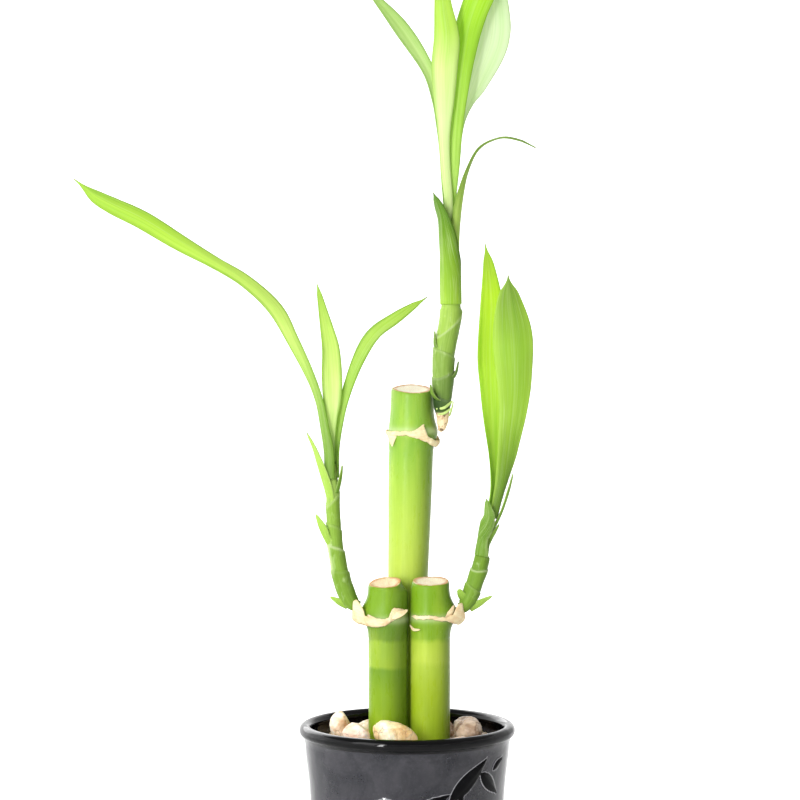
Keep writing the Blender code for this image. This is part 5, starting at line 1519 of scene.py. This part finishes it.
def sheath_values(name, share, turn):
    """Rise of the sheath that covers a place, closeness to its rim, and its tone."""
    rise = 0.0
    rim = 0.0
    tones = SHEATH_TONES[name]
    tone = tones[0]
    for number, (step, (slant, pale)) in enumerate(zip(STEM_STEPS[name], SHEATH_RIMS[name])):
        side = 0.0 if number % 2 == 0 else math.pi
        middle = step + 0.6 * slant if name == "stem_tall" else step
        edge = middle + slant * math.cos(turn - side - 0.4) + 0.004 * math.sin(3.0 * turn + number)
        lead = (share - edge + STEP_LENGTH) / STEP_LENGTH
        if lead > 0.0:
            rise += STEP_DEPTH * min(1.0, lead) ** 1.5 * smooth_step(-share, -edge - 0.006, -edge + 0.002)
        rim = max(rim, pale * math.exp(-((share - edge + 0.008) / 0.011) ** 2))
        over = smooth_step(share, edge - 0.002, edge + 0.004)
        tone = tone * (1.0 - over) + tones[number + 1] * over
    return rise, rim, tone


def bud_values(height, turn):
    """For the tall stem's foot: how papery and tan a place is, and how deep in shade."""
    tan = smooth_step(-height, -BUD_TOP - 0.8, -BUD_TOP + 0.6)
    start, end = BUD_SHADE_END
    shade = smooth_step(height, BUD_TOP - 0.5, BUD_TOP + 1.5) * smooth_step(-height, -end, -start)
    return tan, shade * max(0.0, math.cos(turn - 0.5))


def stem(name, sheath, bract_finish):
    """A shoot's stem wrapped in overlapping sheaths, with its small bracts."""
    tall = name == "stem_tall"
    stations = sampled(STEMS[name], STEM_ROWS)
    directions = tangents(stations)
    shift = Vector((len(name) * 13.0, 0.0, 0.0))
    rings = []
    values = {"rib": [], "rim": [], "tone": [], "tan": [], "shade": []}
    for index, (station, direction) in enumerate(zip(stations, directions)):
        share = index / STEM_ROWS
        narrow = 1.0 - STEM_NARROWING[name] * smooth_step(share, 0.92, 0.965)
        radii = []
        for i in range(STEM_COLUMNS):
            turn = math.tau * i / STEM_COLUMNS
            rise, rim, tone = sheath_values(name, share, turn)
            tan, shade = bud_values(station[2], turn) if tall else (0.0, 0.0)
            ribs = 0.025 * math.cos(16.0 * turn)
            spot = Vector((math.cos(turn), math.sin(turn), share * 9.0)) + shift
            crinkle = 0.32 * tan * bumps(spot * 3.0, 0.8, 3)
            radii.append(narrow * station[3] + rise + ribs + crinkle + 0.08 * bumps(spot, 0.8, 2))
            # painted highlight: a pale band on the left stem's left side, carried in the rim value; bloom
            # here is this highlight
            if name == "stem_left":
                begin, full, fade, end = LEFT_PAINTED_HIGHLIGHT
                bloom = smooth_step(math.cos(turn), 0.5, 0.95) * smooth_step(station[2], begin, full)
                rim = max(rim, 0.6 * bloom * smooth_step(-station[2], -end, -fade))
            shade = max(shade, 0.34 * smooth_step(-math.cos(turn), 0.2, 1.0) * (1.0 - tan))
            rib = 9.0 * math.cos(turn) + 9.0 * math.sin(turn) * 1.7
            for column, value in zip(values.values(), (rib, rim * (1.0 - tan), tone, tan, shade)):
                column.append(value)
        rings.append(ring_across(Vector(station[:3]), direction, radii))
    for rise, radius in CORES[name]:
        shoulder = Vector(stations[-1][:3]) + directions[-1] * rise
        rings.append(ring_across(shoulder, directions[-1], [radius] * STEM_COLUMNS))
        for key, column in values.items():
            column.extend([CORE_TONE if key == "tone" else 0.0] * STEM_COLUMNS)
    shell = Shell()
    shell.tube(rings, values)
    for tone, strip in zip(BRACT_TONES[name], BRACTS[name]):
        strip_into(shell, strip, (36, 12), 0.7, 3, {
            "rib": lambda share, place: place * 7.0,
            "rim": lambda share, place: 0.4 * smooth_step(abs(place), 0.8, 1.0),
            "tone": lambda share, place: tone + 0.2 * share,
            "shade": lambda share, place: 0.55 if tall else 0.1,
        }, finish=1)
    for strip in TORN_RIMS if tall else ():
        strip_into(shell, strip, (30, 6), 0.35, 2, {
            "rib": lambda share, place: place * 5.0,
            "rim": lambda share, place: 0.55,
            "tone": lambda share, place: 0.8,
        }, finish=1, opening=1.0)
    shell.finish_piece(name + "_sheaths", name, [sheath, bract_finish])


# ---------------------------------------------------------------- stage, lights and camera


# lengths of the studio are in metres
WHITE = (1.0, 1.0, 1.0, 1.0)
SWEEP_GREY = (0.86, 0.86, 0.86, 1.0)
SWEEP = ((1.6, 0), (2.6, 0.02), (3.3, 0.25), (3.8, 0.8), (4.1, 1.7), (4.2, 3.2))  # radius, height
GLOW_ALL_ROUND = 0.10
GLOW_BEHIND = 0.62  # so that the sweep behind the plant is a clean white
GLOW_LEFT = 0.8  # a brighter left side, for the reflections on the glaze
GLOW_RIGHT = 0.15  # the share of the glow that is left at the far right
WORLD_STRENGTH = 0.45
# name, place, target, size and power; the window is narrow, tall and bright, so that the rolled rim
# shows it as a white patch
LIGHTS = (
    ("key", (-0.95, -0.85, 0.95), (0.0, 0.0, 0.18), (0.7, 0.9), 6.5),
    ("window", (-0.54, -1.02, 0.40), (0.0, 0.0, 0.20), (0.12, 0.72), 8.0),
    ("back", (-0.5, 1.3, 0.9), (0.0, 0.0, 0.2), (1.2, 1.0), 8.5),
)
CAMERA_LENS = 135.0  # mm
CAMERA_SENSOR = 36.0  # mm
CAMERA_CLIP = (0.05, 20.0)
CAMERA_PLACE = (-0.00266, -1.102, 0.2609)
CAMERA_DOWN = 3.177  # how far the camera looks down, in degrees


def backdrop():
    """A wide white bowl: floor and wall in one sweep."""
    columns = 96
    points = [spot for ring in SWEEP for spot in circle(*ring, columns)]
    faces = []
    for low in range(0, len(points) - columns, columns):
        faces += [(a, d, c, b) for a, b, c, d in band(low, low + columns, columns)]  # facing inwards
    faces += [(len(points), i, (i + 1) % columns) for i in range(columns)]
    points.append(Vector((0.0, 0.0, 0.0)))
    mesh = bpy.data.meshes.new("studio_sweep")
    mesh.from_pydata(points, [], faces)
    mesh.shade_smooth()
    made = linked("studio_sweep", mesh)
    g = Graph("sweep_white")
    x, y, _ = g.split(g.add("TexCoord").outputs["Object"])
    glow = g.plus(GLOW_ALL_ROUND, g.span(y, 0.05, 0.5, 0.0, GLOW_BEHIND))
    glow = g.plus(glow, g.span(x, -2.5, -0.6, GLOW_LEFT, 0.0))
    glow = g.times(glow, g.span(x, 0.9, 1.7, 1.0, GLOW_RIGHT))
    shader = g.add("BsdfPrincipled", {
        "Base Color": SWEEP_GREY, "Roughness": 0.9, "Emission Color": WHITE, "Emission Strength": glow,
    }).outputs[0]
    g.add("OutputMaterial", {"Surface": shader})
    mesh.materials.append(g.made)


def light(name, place, target, size, power):
    data = bpy.data.lights.new(name, "AREA")
    data.shape = "RECTANGLE"
    data.size, data.size_y = size
    data.energy = power
    made = linked(name, data)
    made.location = place
    made.rotation_euler = (Vector(target) - Vector(place)).to_track_quat("-Z", "Y").to_euler()


def studio():
    backdrop()
    world = bpy.data.worlds.new("studio")
    world.use_nodes = True
    ground = world.node_tree.nodes["Background"].inputs
    ground["Color"].default_value = WHITE
    ground["Strength"].default_value = WORLD_STRENGTH
    bpy.context.scene.world = world
    for entry in LIGHTS:
        light(*entry)


def camera():
    data = bpy.data.cameras.new("camera")
    data.lens = CAMERA_LENS
    data.sensor_width = CAMERA_SENSOR
    data.clip_start, data.clip_end = CAMERA_CLIP
    made = linked("camera", data)
    made.location = CAMERA_PLACE
    made.rotation_euler = (math.radians(90.0 - CAMERA_DOWN), 0.0, 0.0)
    bpy.context.scene.camera = made


def main():
    pot()
    gravel()
    for index, entry in enumerate(PEBBLES):
        pebble(index, *entry)
    for name in CANES:
        cane(name)
    paper = paper_material()
    for name in SCARS:
        scar(name, paper)
    sheaths = {name: sheath_material(name, *colours) for name, colours in SHEATH_COLOURS.items()}
    for name in STEMS:
        sheath = sheaths["sheath_tall" if name == "stem_tall" else "sheath_side"]
        stem(name, sheath, sheaths["bract"])
    for index, name in enumerate(LEAVES):
        leaf(index, name)
    studio()
    camera()
    bpy.context.scene.view_settings.view_transform = "Standard"


main()
